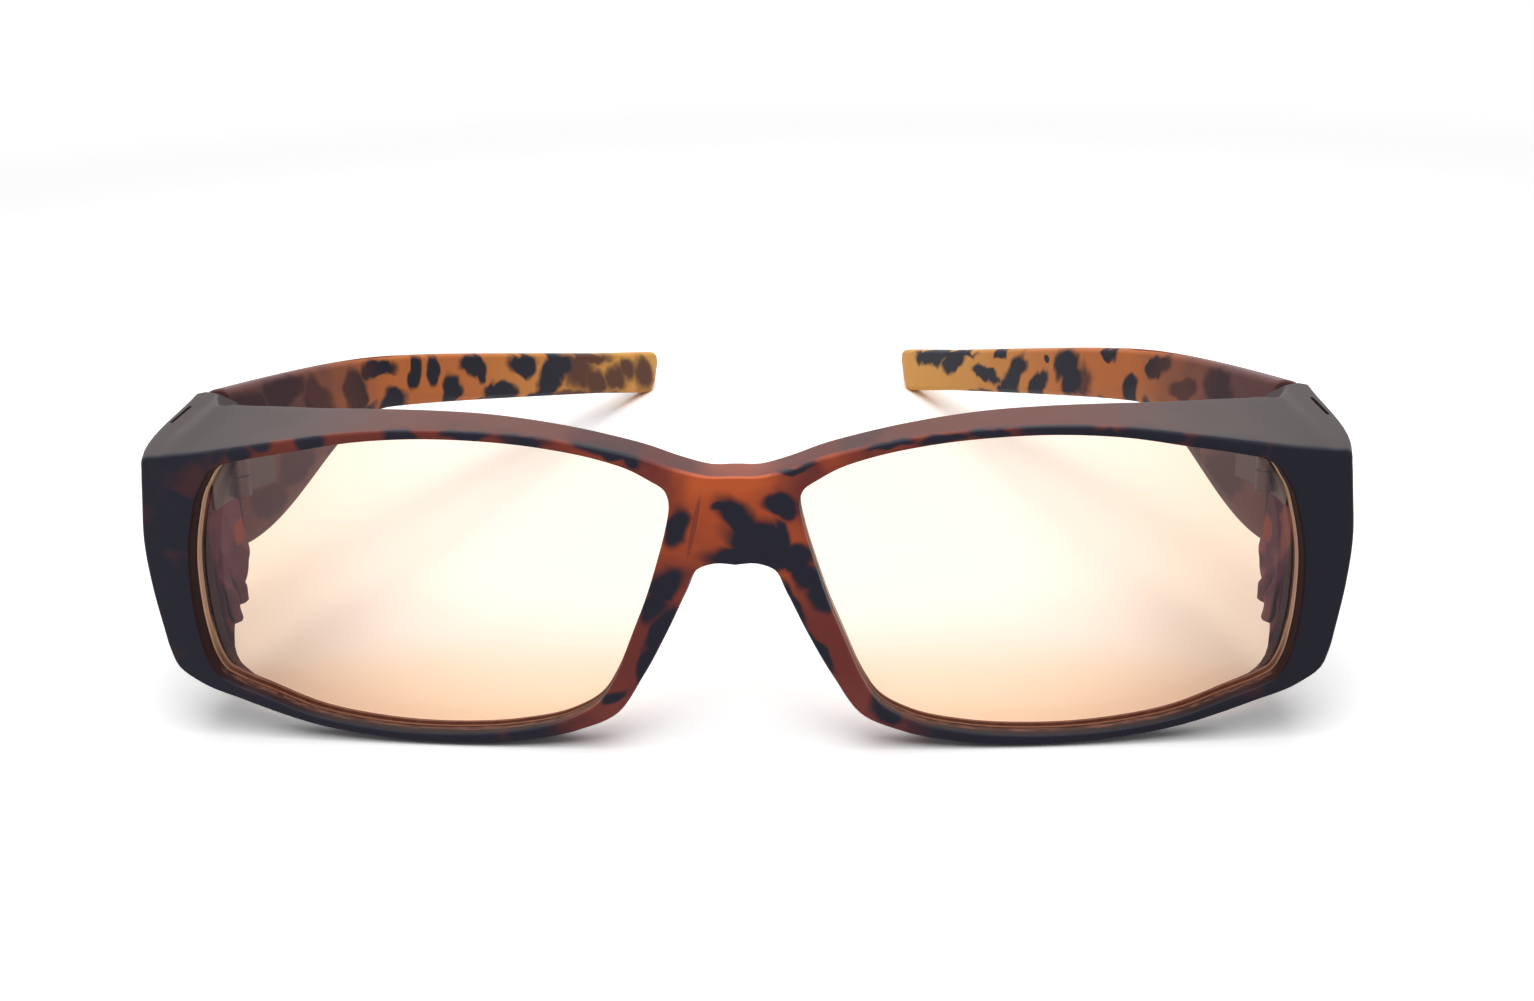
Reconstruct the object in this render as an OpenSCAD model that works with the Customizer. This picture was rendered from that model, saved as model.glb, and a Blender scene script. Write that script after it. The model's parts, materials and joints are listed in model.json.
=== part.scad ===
// Computer reading glasses of the wear-over kind: a deep moulded front with a brow shelf and
// side returns, two tinted lenses and two hinged temples, standing on its rims and temple tips.
// The wearer looks along -Y, so the wearer's right side is at -X and the left side at +X.

/* [Lenses] */
// Width of one lens opening
lens_w = 61.3; // [55:0.1:66]
// Height of one lens opening
lens_h = 38.4; // [34:0.1:42]
// Distance between the two lens openings at their nearest
bridge_w = 16; // [13:0.1:20]
// Thickness of a lens
lens_t = 2; // [1.6:0.1:2.4]
// Thickness of the tongue around a lens
tongue_t = 0.9; // [0.6:0.05:1.2]
// How far the tongue reaches into the rim
tongue_reach = 0.5; // [0.3:0.05:0.6]
// Depth of the lens face behind the rim's face
lens_recess = 2.2; // [1.6:0.05:2.4]

/* [Front] */
// Height of a lens opening above the foot of the front
rim_low = 1.35; // [1.2:0.05:3]
// Depth of the rims from front to back
rim_d = 4.5; // [4.2:0.1:6]
// How far the front curves back at its corners
wrap = 4; // [2:0.1:8]
// Angle by which the front leans back as it stands
lean = 7; // [5:0.5:9]
// Distance from the front's middle back to the temple joints
joint_y = 22; // [20:0.5:26]
// Thickness of the brow shelf
shelf_wall = 1.4; // [1.2:0.05:1.6]
// Thickness of the side returns
side_wall = 4.2; // [3.8:0.1:4.6]
// How far the side returns bulge out between the corner and the joint
side_bulge = 0.9; // [0.2:0.1:1.5]
// Radius of the front's outer edges
edge_r = 0.5; // [0.3:0.1:1]
// Length of the relief slot in each top corner
slot_l = 4.8; // [3:0.1:6]
// Width of the relief slot
slot_w = 0.5; // [0.3:0.05:0.8]
// Depth of the relief slot
slot_d = 3; // [1:0.1:5]
// Depth of the flat land on which each rim stands
land = 0.1; // [0.05:0.01:0.2]

/* [Temples] */
// Length of a temple from its joint to its tip
temple_l = 133; // [120:1:145]
// Height of a temple at its joint
temple_end_h = 22.3; // [18:0.1:24]
// Height of the slim arm of a temple
arm_h = 8.3; // [7:0.1:10]
// Thickness of a temple at its joint
temple_end_t = 4; // [3.8:0.1:4.2]
// Thickness of the slim arm of a temple
arm_t = 3; // [2.4:0.1:3.6]
// Length over which a temple narrows down to its arm
taper_l = 38; // [32:1:50]
// Distance from the joint at which a temple bends down
bend_at = 30; // [24:1:40]
// Height of the rounding at the corners of a temple tip
tip_r = 2; // [1:0.1:3]
// Angle by which an opened temple leaves its joint inwards
splay = 6; // [4:0.5:8]
// Radius of a temple's outward bow
bow_r = 1600; // [1200:50:3000]
// Angle by which each temple stands folded in from fully open
fold = 10.5; // [0:0.5:20]
// Gap between a return and its opened temple
joint_gap = 0.4; // [0.3:0.05:0.6]

/* [Hinges] */
// Diameter of a hinge barrel
barrel_d = 2.6; // [2.2:0.1:3]
// Height of a whole hinge barrel
barrel_h = 8.4; // [7:0.1:10]
// Height of the hinge's middle knuckle
middle_h = 2.8; // [2:0.1:3.4]
// Axial play between knuckles
knuckle_gap = 0.08; // [0.05:0.01:0.15]
// Thickness of a hinge leaf
leaf_t = 0.9; // [0.6:0.05:1.1]
// Length of a hinge leaf
leaf_l = 8; // [6:0.1:9]
// Diameter of the hinge screw
screw_d = 1.2; // [1:0.05:1.4]
// Diameter of the hinge screw's head
head_d = 2.2; // [1.8:0.1:2.6]
// Height of the hinge screw's head
head_h = 0.6; // [0.4:0.05:0.8]
// Radial play of the screw in the knuckles
screw_play = 0.05; // [0.02:0.01:0.09]
// Diameter of the studs that anchor a leaf
stud_d = 1.1; // [0.8:0.1:1.4]
// Length of the studs that anchor a leaf
stud_l = 1.6; // [1:0.1:1.8]
// Clearance cut around a hinge barrel
barrel_clear = 0.2; // [0.15:0.05:0.3]

/* [Hidden] */

// Colours of the mottled frame, its lenses and its metal
FRAME_BROWN = [0.42, 0.22, 0.14];
TEMPLE_BROWN = [0.62, 0.34, 0.15];
LENS_AMBER = [0.98, 0.83, 0.62, 0.45];
STEEL = [0.72, 0.72, 0.74];

// One row per rib of the front's loft, clockwise round the lens opening at +X from the bridge's
// top. First the rib's place on the opening, as shares of its width and height. Then,
// in mm, x and z from there to the outer front edge, and x, depth and z from that edge to the
// outer back edge. Last, the way from the outer to the inner skin, as shares of the walls.
// Depths past the joint stop at it, and what reaches past the middle is cut off there.
RIBS = [
    [0.000, 0.810, -10.0, 2.4, 0.0, 6.1, 0.3, 1.0, 0.0],
    [0.010, 0.842, -5.6, 1.4, 0.0, 6.0, 0.4, 0.5, -0.6],
    [0.033, 0.866, -3.5, 1.3, 0.0, 5.8, 0.6, 0.2, -0.9],
    [0.075, 0.903, -2.1, 1.3, 0.0, 5.5, 0.7, 0.0, -1.0],
    [0.141, 0.938, -1.1, 1.2, 0.0, 5.6, 0.8, 0.0, -1.0],
    [0.249, 0.973, -0.7, 1.2, 0.0, 6.1, 0.8, 0.0, -1.0],
    [0.381, 0.995, -0.4, 1.1, 0.0, 7.0, 1.0, 0.0, -1.0],
    [0.498, 1.000, -0.5, 1.1, 0.0, 7.6, 1.1, 0.0, -1.0],
    [0.630, 0.987, -0.6, 1.3, 0.0, 8.4, 1.4, 0.0, -1.0],
    [0.763, 0.952, -0.3, 1.6, -1.0, 10.2, 2.1, 0.0, -1.0],
    [0.862, 0.925, 0.6, 1.6, -1.0, 11.8, 3.0, 0.0, -1.0],
    [0.910, 0.905, 3.7, 1.5, -1.5, 13.2, 3.7, 0.0, -1.0],
    [0.935, 0.877, 6.5, 2.1, -2.0, 14.8, 4.3, -0.5, -1.0],
    [0.952, 0.836, 7.6, 3.3, -0.2, 30.0, 5.0, -1.0, -1.0],
    [0.962, 0.810, 7.2, 3.0, -0.3, 30.0, 4.5, -1.0, -0.6],
    [0.980, 0.724, 6.5, 2.8, -0.6, 30.0, 4.0, -1.0, -0.2],
    [0.997, 0.590, 6.0, 2.0, -1.1, 30.0, 3.3, -1.0, 0.0],
    [1.000, 0.456, 5.5, 1.6, -1.0, 30.0, 3.2, -1.0, 0.0],
    [0.993, 0.322, 5.1, 1.0, -0.8, 17.8, 4.1, -1.0, 0.2],
    [0.982, 0.241, 5.2, 1.0, -0.7, 16.0, 4.0, -0.9, 0.6],
    [0.965, 0.188, 5.4, 0.8, -0.5, 12.8, 3.0, -0.7, 1.0],
    [0.934, 0.158, 4.6, -0.1, -0.3, 8.7, 1.7, -0.3, 1.1],
    [0.871, 0.118, 3.1, -0.7, 0.0, 5.6, 0.5, -0.1, 1.0],
    [0.763, 0.052, 1.2, -1.0, 0.0, 4.6, 0.1, 0.0, 1.0],
    [0.630, 0.013, 0.4, -1.1, 0.0, 4.5, 0.0, 0.0, 1.0],
    [0.481, 0.000, -0.5, -1.3, 0.0, 4.5, 0.0, 0.0, 1.0],
    [0.332, 0.016, -0.6, -1.4, 0.0, 4.5, 0.0, 0.0, 1.0],
    [0.224, 0.056, -1.4, -1.4, 0.0, 4.5, 0.0, 0.0, 1.0],
    [0.159, 0.115, -2.6, -1.2, 0.0, 4.5, 0.0, 0.3, 0.7],
    [0.124, 0.196, -3.7, 0.5, 0.0, 4.6, 0.0, 1.0, 0.0],
    [0.083, 0.349, -4.5, 0.7, 0.0, 4.8, 0.0, 1.0, 0.0],
    [0.050, 0.483, -4.9, 0.7, 0.0, 5.2, 0.0, 1.0, 0.0],
    [0.032, 0.571, -5.3, 0.2, 0.0, 5.4, 0.0, 0.9, 0.2],
    [0.020, 0.633, -6.8, -1.4, 0.0, 5.6, 0.0, 0.6, 0.6],
    [0.008, 0.702, -10.5, -4.1, 0.0, 5.8, 0.0, 0.3, 0.9]
];
// Row of RIBS at the widest place, and the row whose back edge lies beside the hinge
WIDEST = 17;
BY_HINGE = 16;
// Longest step along the loft of the front
RIB_STEP = 2.8;
// Rounding of a lens opening's front lip and of the back edges
LIP_R = 0.3;
BACK_R = 0.5;
// Play of a lens in its groove
LENS_PLAY = 0.05;
// Places of the bulged points between front and back, and the factor that makes their curve peak at 1
BULGE_AT = [0.18, 0.42, 0.7];
BULGE_PEAK = 6.75;
// Length over which a rim grows into a shelf or a return
LEG_BLEND = 4;
// Inset of the relief slot's middle from the return's widest place, its distance from the joint
// and the angle by which it turns in towards the joint
SLOT_IN = 1.35;
SLOT_BACK = 6.6;
SLOT_TURN = 9;
// Height of the temples' upper edge at the joint above the top of the lens opening
TEMPLE_RISE = 2.3;
// Distance of the hinge's middle below the temples' upper edge
HINGE_DROP = 10.5;
// Softness of the bend where a temple turns down
BEND_SOFT = 14;
// Rounding of a temple's long edges
ARM_EDGE = 0.9;
// Place of a rounding's middle point, as a share of its radius
SOFT = 0.3;
// Height and depth of the bevel inside a temple's lower edge, and the length over which it fades
BEVEL_H = 2.8;
BEVEL_D = 0.9;
BEVEL_FADE = 20;
// Width and height of the rounding outside a temple's upper edge, which fades the same way
TOP_W = 2.6;
TOP_H = 1.8;
// Length of the rounding at the corners of a temple tip, over its height
TIP_LONG = 2.2;
// Lean of the end of a temple tip, as run over rise
TIP_SLANT = 0.6;
// Length over which that lean grows
TIP_SLANT_L = 25;
// Steps along a temple, and around the rounding of its tip
ARM_STEPS = 30;
TIP_STEPS = 4;
// Width and depth of the screwdriver slot
DRIVER_W = 0.3;
DRIVER_D = 0.3;
// How far a cutter passes through a surface
THROUGH = 1;

opening_low = rim_low;
opening_in = bridge_w / 2;
half_w = opening_in + lens_w + RIBS[WIDEST][2];
face_r = half_w * half_w / (2 * wrap);
groove_front = lens_recess + (lens_t - tongue_t) / 2 - LENS_PLAY;
groove_back = groove_front + tongue_t + 2 * LENS_PLAY;
groove_reach = tongue_reach + LENS_PLAY;

function mix(a, b, t) = a + (b - a) * t;
function clamp(v) = max(0, min(1, v));
function at(p, y) = [p.x, y, p.y];
// Depth of the front's curved face behind its middle
function face_y(x) = face_r - sqrt(face_r * face_r - x * x);

// The rib table, smoothed and divided into short steps
function opening(row) = [opening_in + row[0] * lens_w, opening_low + row[1] * lens_h];
function outer(row) = opening(row) + [row[2], row[3]];
rib_count = len(RIBS);
gaps = [
    for (i = [0 : rib_count - 1])
        let (a = RIBS[i], b = RIBS[(i + 1) % rib_count])
        (norm(opening(b) - opening(a)) + norm(outer(b) - outer(a))) / 2
];
function rib_slope(i) =
    let (
        before = gaps[(i + rib_count - 1) % rib_count],
        after = gaps[i % rib_count],
        row = RIBS[i % rib_count],
        last = RIBS[(i + rib_count - 1) % rib_count],
        next = RIBS[(i + 1) % rib_count]
    )
    ((next - row) * before / after + (row - last) * after / before) / (before + after);
function rib_between(i, t) =
    let (
        a = RIBS[i],
        b = RIBS[(i + 1) % rib_count],
        start = rib_slope(i) * gaps[i],
        end = rib_slope(i + 1) * gaps[i]
    )
    a * (2 * t * t * t - 3 * t * t + 1) + start * (t * t * t - 2 * t * t + t)
    + b * (3 * t * t - 2 * t * t * t) + end * (t * t * t - t * t);
ribs = [
    for (i = [0 : rib_count - 1])
        let (steps = max(1, round(gaps[i] / RIB_STEP)))
        for (j = [0 : steps - 1]) rib_between(i, j / steps)
];
rib_n = len(ribs);
function outward(i) =
    let (way = opening(ribs[(i + 1) % rib_n]) - opening(ribs[(i + rib_n - 1) % rib_n]))
    [-way.y, way.x] / norm(way);

// One closed section of the front, from the opening's lip over the outside to the lens groove
function section(row, out) =
    let (
        a = opening(row),
        o = outer(row),
        b = o + [row[4], row[6]],
        back_y = min(face_y(o.x) + row[5], joint_y),
        depth = back_y - face_y(o.x),
        leg = clamp((depth - rim_d) / LEG_BLEND),
        wall = [row[7] * side_wall, row[8] * shelf_wall],
        bulge = [-row[7] * side_bulge * leg, 0],
        band = norm(o - a),
        turn = min(edge_r, band / 4),
        crease = o + (a - o) * turn / band,
        lip = a + out * LIP_R,
        groove = a + out * groove_reach,
        rim_o = mix(o, b, rim_d / depth),
        rim_y = face_y(a.x) + rim_d,
        flat_out = mix(rim_o, a, 0.3),
        flat_in = mix(rim_o, a, 0.6)
    )
    [
        at(a, face_y(a.x) + LIP_R),
        at(lip, face_y(lip.x)),
        at(crease, face_y(crease.x)),
        at(mix(o, b, turn / depth), face_y(o.x) + turn),
        for (t = BULGE_AT)
            at(mix(o, b, t) + bulge * BULGE_PEAK * t * (1 - t) * (1 - t), face_y(o.x) + depth * t),
        at(mix(o, b, 1 - BACK_R / depth), back_y - BACK_R),
        at(b + wall * BACK_R / norm(wall), back_y),
        mix(at(flat_out, face_y(flat_out.x) + rim_d), at(b + wall, back_y), leg),
        mix(at(flat_in, face_y(flat_in.x) + rim_d), at(rim_o + wall, rim_y), leg),
        at(a, rim_y),
        at(a, face_y(a.x) + groove_back),
        at(groove, face_y(groove.x) + groove_back),
        at(groove, face_y(groove.x) + groove_front),
        at(a, face_y(a.x) + groove_front)
    ];
sections = [for (i = [0 : rib_n - 1]) section(ribs[i], outward(i))];
section_n = len(sections[0]);
front_points = [for (s = sections) for (p = s) p];

// Heights and directions as the front leans back on the table
function stood_z(p) = p.z * cos(lean) - p.y * sin(lean);
function stood_y(p) = p.y * cos(lean) + p.z * sin(lean);
lift = -min([for (p = front_points) stood_z(p)]) - land;

// Place of the hinge beside the inner skin of a return
return_x = outer(RIBS[BY_HINGE]).x + RIBS[BY_HINGE][4];
hinge_x = return_x - side_wall;
axis_x = hinge_x + leaf_t - barrel_d / 2;
axis_y = joint_y + joint_gap / 2;
temple_top = opening_low + lens_h + TEMPLE_RISE;
hinge_z = temple_top - HINGE_DROP;

// A temple's side shape: s is the distance behind its joint end
function narrowed(s) = s >= taper_l ? 1 : (1 - cos(180 * s / taper_l)) / 2;
function bend(s) = (sqrt((s - bend_at) * (s - bend_at) + BEND_SOFT * BEND_SOFT) + s - bend_at) / 2;
function arm_height(s) = mix(temple_end_h, arm_h, narrowed(s));
function arm_thick(s) = mix(temple_end_t, arm_t, narrowed(s));
function inner_x(s) = hinge_x - tan(splay) * s - s * s / (2 * bow_r);
tip_from = temple_l - tip_r * TIP_LONG;
function tip_turn(s) =
    let (q = clamp((s - tip_from) / (tip_r * TIP_LONG)))
    tip_r * (1 - sqrt(1 - q * q));
arm_places = concat(
    [for (i = [0 : ARM_STEPS]) tip_from * i / ARM_STEPS],
    [for (i = [1 : TIP_STEPS]) tip_from + tip_r * TIP_LONG * sin(80 * i / TIP_STEPS)]
);
// Cross-section of a temple at s, as [x from the inner face, z from the upper edge]
function arm_outline(s) =
    let (
        h = arm_height(s),
        t = arm_thick(s),
        k = tip_turn(s),
        near = min(k, t / 3),
        e = min(ARM_EDGE, 0.4 * (t - 2 * near)),
        wide = 1 - clamp((s - taper_l) / BEVEL_FADE),
        bevel_h = mix(e, BEVEL_H, wide),
        bevel_d = BEVEL_D * wide,
        top_w = mix(e, TOP_W, wide),
        top_h = mix(e, TOP_H, wide)
    )
    [
        [near, bevel_h - h + k],
        [near + max(e * SOFT, bevel_d * 0.85), e * SOFT - h + k],
        [near + max(e, bevel_d), -h + k],
        [t - near - e, -h + k],
        [t - near - e * SOFT, e * SOFT - h + k],
        [t - near, e - h + k],
        [t - near, -top_h - k],
        [t - near - top_w * SOFT, -top_h * SOFT - k],
        [t - near - top_w, -k],
        [near + e, -k],
        [near + e * SOFT, -e * SOFT - k],
        [near, -e - k]
    ];
// A temple's points with its arm straight, and how far the bend lowers each of them
function arm_slant(s) = TIP_SLANT * clamp((s - temple_l + TIP_SLANT_L) / TIP_SLANT_L);
arm_straight = [
    for (s = arm_places)
        for (p = arm_outline(s))
            [
                inner_x(s) + p.x,
                joint_y + joint_gap + s + arm_slant(s) * (p.y + arm_height(s) / 2),
                temple_top + p.y
            ]
];
arm_n = len(arm_outline(0));
arm_bends = [for (s = arm_places) for (i = [1 : arm_n]) bend(s) - bend(0)];
function folded(p) =
    [
        axis_x + (p.x - axis_x) * cos(fold) - (p.y - axis_y) * sin(fold),
        axis_y + (p.x - axis_x) * sin(fold) + (p.y - axis_y) * cos(fold),
        p.z
    ];
// The arm slopes down just so far that its tip touches the table
droop = min([
    for (i = [0 : len(arm_straight) - 1])
        if (arm_bends[i] > BEND_SOFT)
            (stood_z(folded(arm_straight[i])) + lift) / (arm_bends[i] * cos(lean))
]);
arm_points = [
    for (i = [0 : len(arm_straight) - 1]) arm_straight[i] - [0, 0, droop * arm_bends[i]]
];
set_back = -(min([for (p = front_points) stood_y(p)])
    + max([for (p = arm_points) stood_y(folded(p))])) / 2;

// Faces that join rings of points, closed into a loop or ended by two flat caps
function ring_faces(rings, n, loop) = [
    for (i = [0 : rings - (loop ? 1 : 2)])
        for (j = [0 : n - 1])
            let (
                a = i * n + j,
                b = i * n + (j + 1) % n,
                c = ((i + 1) % rings) * n + j,
                d = ((i + 1) % rings) * n + (j + 1) % n
            )
            for (face = [[a, b, c], [b, d, c]]) face
];

// Stands a piece on the table, on the wearer's left side or mirrored to the right side
module stood() {
    translate([0, set_back, lift])
        rotate([-lean, 0, 0])
            children();
}
module left_side() {
    stood() children();
}
module right_side() {
    stood() mirror([1, 0, 0]) children();
}
module about_hinge(angle) {
    translate([axis_x, axis_y, 0])
        rotate([0, 0, angle])
            translate([-axis_x, -axis_y, 0])
                children();
}

// Room for a leaf, its studs and the barrel with its screw, cut into the front and a temple
module leaf_plate(grow) {
    translate([hinge_x - grow, axis_y - leaf_l, hinge_z - barrel_h / 2])
        cube([leaf_t + grow, leaf_l, barrel_h]);
}
module leaf_studs() {
    for (place = [0.35, 0.7])
        translate([hinge_x + leaf_t / 2, axis_y - leaf_l * place - 1, hinge_z])
            rotate([0, 90, 0])
                cylinder(h = leaf_t / 2 + stud_l, d = stud_d, $fn = 24);
}
module barrel_room() {
    translate([axis_x, axis_y, hinge_z - barrel_h / 2 - barrel_clear])
        cylinder(h = barrel_h + head_h + 2 * barrel_clear, d = barrel_d + 2 * barrel_clear, $fn = 32);
}
module hinge_room() {
    leaf_plate(THROUGH);
    leaf_studs();
    barrel_room();
}

module relief_slot() {
    translate([half_w - SLOT_IN, joint_y - SLOT_BACK, temple_top - slot_d - THROUGH])
        rotate([0, 0, SLOT_TURN])
            translate([-slot_w / 2, -slot_l / 2, 0])
                cube([slot_w, slot_l, slot_d + 2 * THROUGH]);
}

module front_half() {
    difference() {
        intersection() {
            polyhedron(points = front_points, faces = ring_faces(rib_n, section_n, true), convexity = 8);
            translate([0, -THROUGH, -THROUGH])
                cube([half_w + 2 * THROUGH, joint_y + 2 * THROUGH, temple_top + 2 * THROUGH]);
        }
        hinge_room();
        relief_slot();
    }
}

module front_frame() {
    color(FRAME_BROWN)
        difference() {
            stood() {
                front_half();
                mirror([1, 0, 0]) front_half();
            }
            translate([-half_w, set_back - THROUGH, -THROUGH])
                cube([2 * half_w, joint_y, THROUGH]);
        }
}

// Layer of the lens between two curved faces, with its outline grown by a distance
module lens_layer(grow, depth, thick) {
    intersection() {
        translate([0, joint_y, 0])
            rotate([90, 0, 0])
                linear_extrude(joint_y + THROUGH)
                    polygon([for (i = [0 : rib_n - 1]) opening(ribs[i]) + outward(i) * grow]);
        difference() {
            translate([0, face_r + depth, 0])
                cylinder(h = opening_low + lens_h + THROUGH, r = face_r, $fn = 720);
            translate([0, face_r + depth + thick, -THROUGH])
                cylinder(h = opening_low + lens_h + 3 * THROUGH, r = face_r, $fn = 720);
        }
    }
}
module lens() {
    color(LENS_AMBER) {
        lens_layer(-LENS_PLAY, lens_recess, lens_t);
        lens_layer(tongue_reach, lens_recess + (lens_t - tongue_t) / 2, tongue_t);
    }
}

module temple_arm() {
    rings = len(arm_places);
    polyhedron(
        points = arm_points,
        faces = concat(
            ring_faces(rings, arm_n, false),
            [[for (i = [arm_n - 1 : -1 : 0]) i]],
            [[for (i = [0 : arm_n - 1]) (rings - 1) * arm_n + i]]
        ),
        convexity = 6
    );
}
module temple() {
    color(TEMPLE_BROWN)
        about_hinge(fold)
            difference() {
                temple_arm();
                temple_side() leaf_plate(THROUGH);
                temple_side() leaf_studs();
                barrel_room();
            }
}
// Turns the front's leaf over to the temple's side of the axis
module temple_side() {
    about_hinge(splay)
        translate([0, 2 * axis_y, 0])
            mirror([0, 1, 0])
                children();
}

module screw_bore() {
    translate([axis_x, axis_y, hinge_z - barrel_h / 2 - THROUGH])
        cylinder(h = barrel_h + 2 * THROUGH, d = screw_d + 2 * screw_play, $fn = 24);
}
module knuckle(low, high, d) {
    translate([axis_x, axis_y, hinge_z + low])
        cylinder(h = high - low, d = d, $fn = 32);
}
module hinge_front_leaf() {
    color(STEEL)
        difference() {
            union() {
                leaf_plate(0);
                leaf_studs();
                knuckle(-barrel_h / 2, barrel_h / 2, barrel_d);
            }
            knuckle(-middle_h / 2 - knuckle_gap, middle_h / 2 + knuckle_gap, barrel_d + 2 * knuckle_gap);
            screw_bore();
        }
}
module hinge_temple_leaf() {
    color(STEEL)
        about_hinge(fold)
            difference() {
                union() {
                    temple_side() leaf_plate(0);
                    temple_side() leaf_studs();
                    knuckle(-middle_h / 2, middle_h / 2, barrel_d);
                }
                for (side = [-1, 1])
                    translate([0, 0, side * (barrel_h + middle_h) / 4])
                        knuckle(
                            -(barrel_h - middle_h) / 4 - knuckle_gap,
                            (barrel_h - middle_h) / 4 + knuckle_gap,
                            barrel_d + 2 * knuckle_gap
                        );
                screw_bore();
            }
}
module hinge_screw() {
    top = hinge_z + barrel_h / 2;
    color(STEEL)
        difference() {
            union() {
                translate([axis_x, axis_y, hinge_z - barrel_h / 2])
                    cylinder(h = barrel_h + head_h / 2, d = screw_d, $fn = 24);
                translate([axis_x, axis_y, top])
                    cylinder(h = head_h, d = head_d, $fn = 32);
            }
            translate([axis_x - head_d, axis_y - DRIVER_W / 2, top + head_h - DRIVER_D])
                cube([2 * head_d, DRIVER_W, DRIVER_D + THROUGH]);
        }
}

front_frame();
right_side() lens();  // lens_right
left_side() lens();  // lens_left
right_side() temple();  // temple_right
left_side() temple();  // temple_left
right_side() hinge_front_leaf();  // hinge_front_leaf_right
left_side() hinge_front_leaf();  // hinge_front_leaf_left
right_side() hinge_temple_leaf();  // hinge_temple_leaf_right
left_side() hinge_temple_leaf();  // hinge_temple_leaf_left
right_side() hinge_screw();  // hinge_screw_right
left_side() hinge_screw();  // hinge_screw_left
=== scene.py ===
import json
import math

import bmesh
import bpy
import numpy as np
from mathutils import Matrix, Vector


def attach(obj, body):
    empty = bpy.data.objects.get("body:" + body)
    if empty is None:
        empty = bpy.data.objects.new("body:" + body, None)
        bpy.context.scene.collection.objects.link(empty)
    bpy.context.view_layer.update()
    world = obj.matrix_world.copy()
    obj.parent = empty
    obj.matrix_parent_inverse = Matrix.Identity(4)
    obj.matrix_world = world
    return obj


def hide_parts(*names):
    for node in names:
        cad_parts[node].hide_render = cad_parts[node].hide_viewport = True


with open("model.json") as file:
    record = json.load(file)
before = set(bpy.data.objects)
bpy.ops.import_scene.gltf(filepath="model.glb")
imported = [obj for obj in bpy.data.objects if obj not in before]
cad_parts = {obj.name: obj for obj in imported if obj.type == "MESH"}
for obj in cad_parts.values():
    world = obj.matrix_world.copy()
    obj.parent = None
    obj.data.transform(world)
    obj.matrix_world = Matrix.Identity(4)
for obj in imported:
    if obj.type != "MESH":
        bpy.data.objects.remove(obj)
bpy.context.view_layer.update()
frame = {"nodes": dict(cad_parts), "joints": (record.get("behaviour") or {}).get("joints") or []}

# Sizes in mm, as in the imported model. Lenses and front:
LENS_W = 61.3
LENS_H = 38.4
OPENING_IN = 8.0
OPENING_LOW = 1.35
LENS_T = 2.0
TONGUE_T = 0.9
TONGUE_REACH = 0.5
LENS_RECESS = 2.2
LENS_PLAY = 0.05
RIM_D = 4.5
WRAP = 4.0
LEAN = math.radians(7)
JOINT_Y = 22.0
SHELF_WALL = 1.4
SIDE_WALL = 4.2
SIDE_BULGE = 0.9
EDGE_R = 0.5
LIP_R = 0.3
BACK_R = 0.5
BULGE_PEAK = 6.75
LEG_BLEND = 4.0
SLOT_L, SLOT_W, SLOT_D = 4.8, 0.5, 3.0
SLOT_IN, SLOT_BACK, SLOT_TURN = 1.35, 6.6, math.radians(9)
# Temples:
TEMPLE_L = 133.0
TEMPLE_END_H, ARM_H = 22.3, 8.3
TEMPLE_END_T, ARM_T = 4.0, 3.0
TAPER_L = 38.0
BEND_AT, BEND_SOFT = 30.0, 14.0
TIP_R, TIP_LONG = 2.0, 2.2
SPLAY = math.radians(6)
BOW_R = 1600.0
FOLD = math.radians(10.5)
JOINT_GAP = 0.4
ARM_EDGE = 0.9
BEVEL_H, BEVEL_D, BEVEL_FADE = 2.8, 0.9, 20.0
TOP_W, TOP_H = 2.6, 1.8
TIP_SLANT, TIP_SLANT_L = 0.6, 25.0
TEMPLE_TOP = OPENING_LOW + LENS_H + 2.3
END_ROUND = 0.25
TIP_L = TIP_R * TIP_LONG
# Twin ribs inside each return, from the table up:
RIB_PLACES = (-61.4, -58.6)
RIB_LOW, RIB_HIGH, RIB_FADE = 10.0, 17.0, 2.5
RIB_W, RIB_REACH, RIB_ROUND = 1.9, 1.3, 1.6
RIB_ROWS, RIB_TURNS = 24, 10
# The upper edge of a resting temple at its joint, and its fall per mm along Y past the bend
TEMPLE_UPPER, TEMPLE_FALL = 39.4, 0.1745
# Hinges:
HINGE_Z = TEMPLE_TOP - 10.5
LEAF_T, LEAF_L = 0.9, 8.0
BARREL_D, BARREL_H, BARREL_CLEAR = 2.6, 8.4, 0.2
HEAD_H = 0.6

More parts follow.
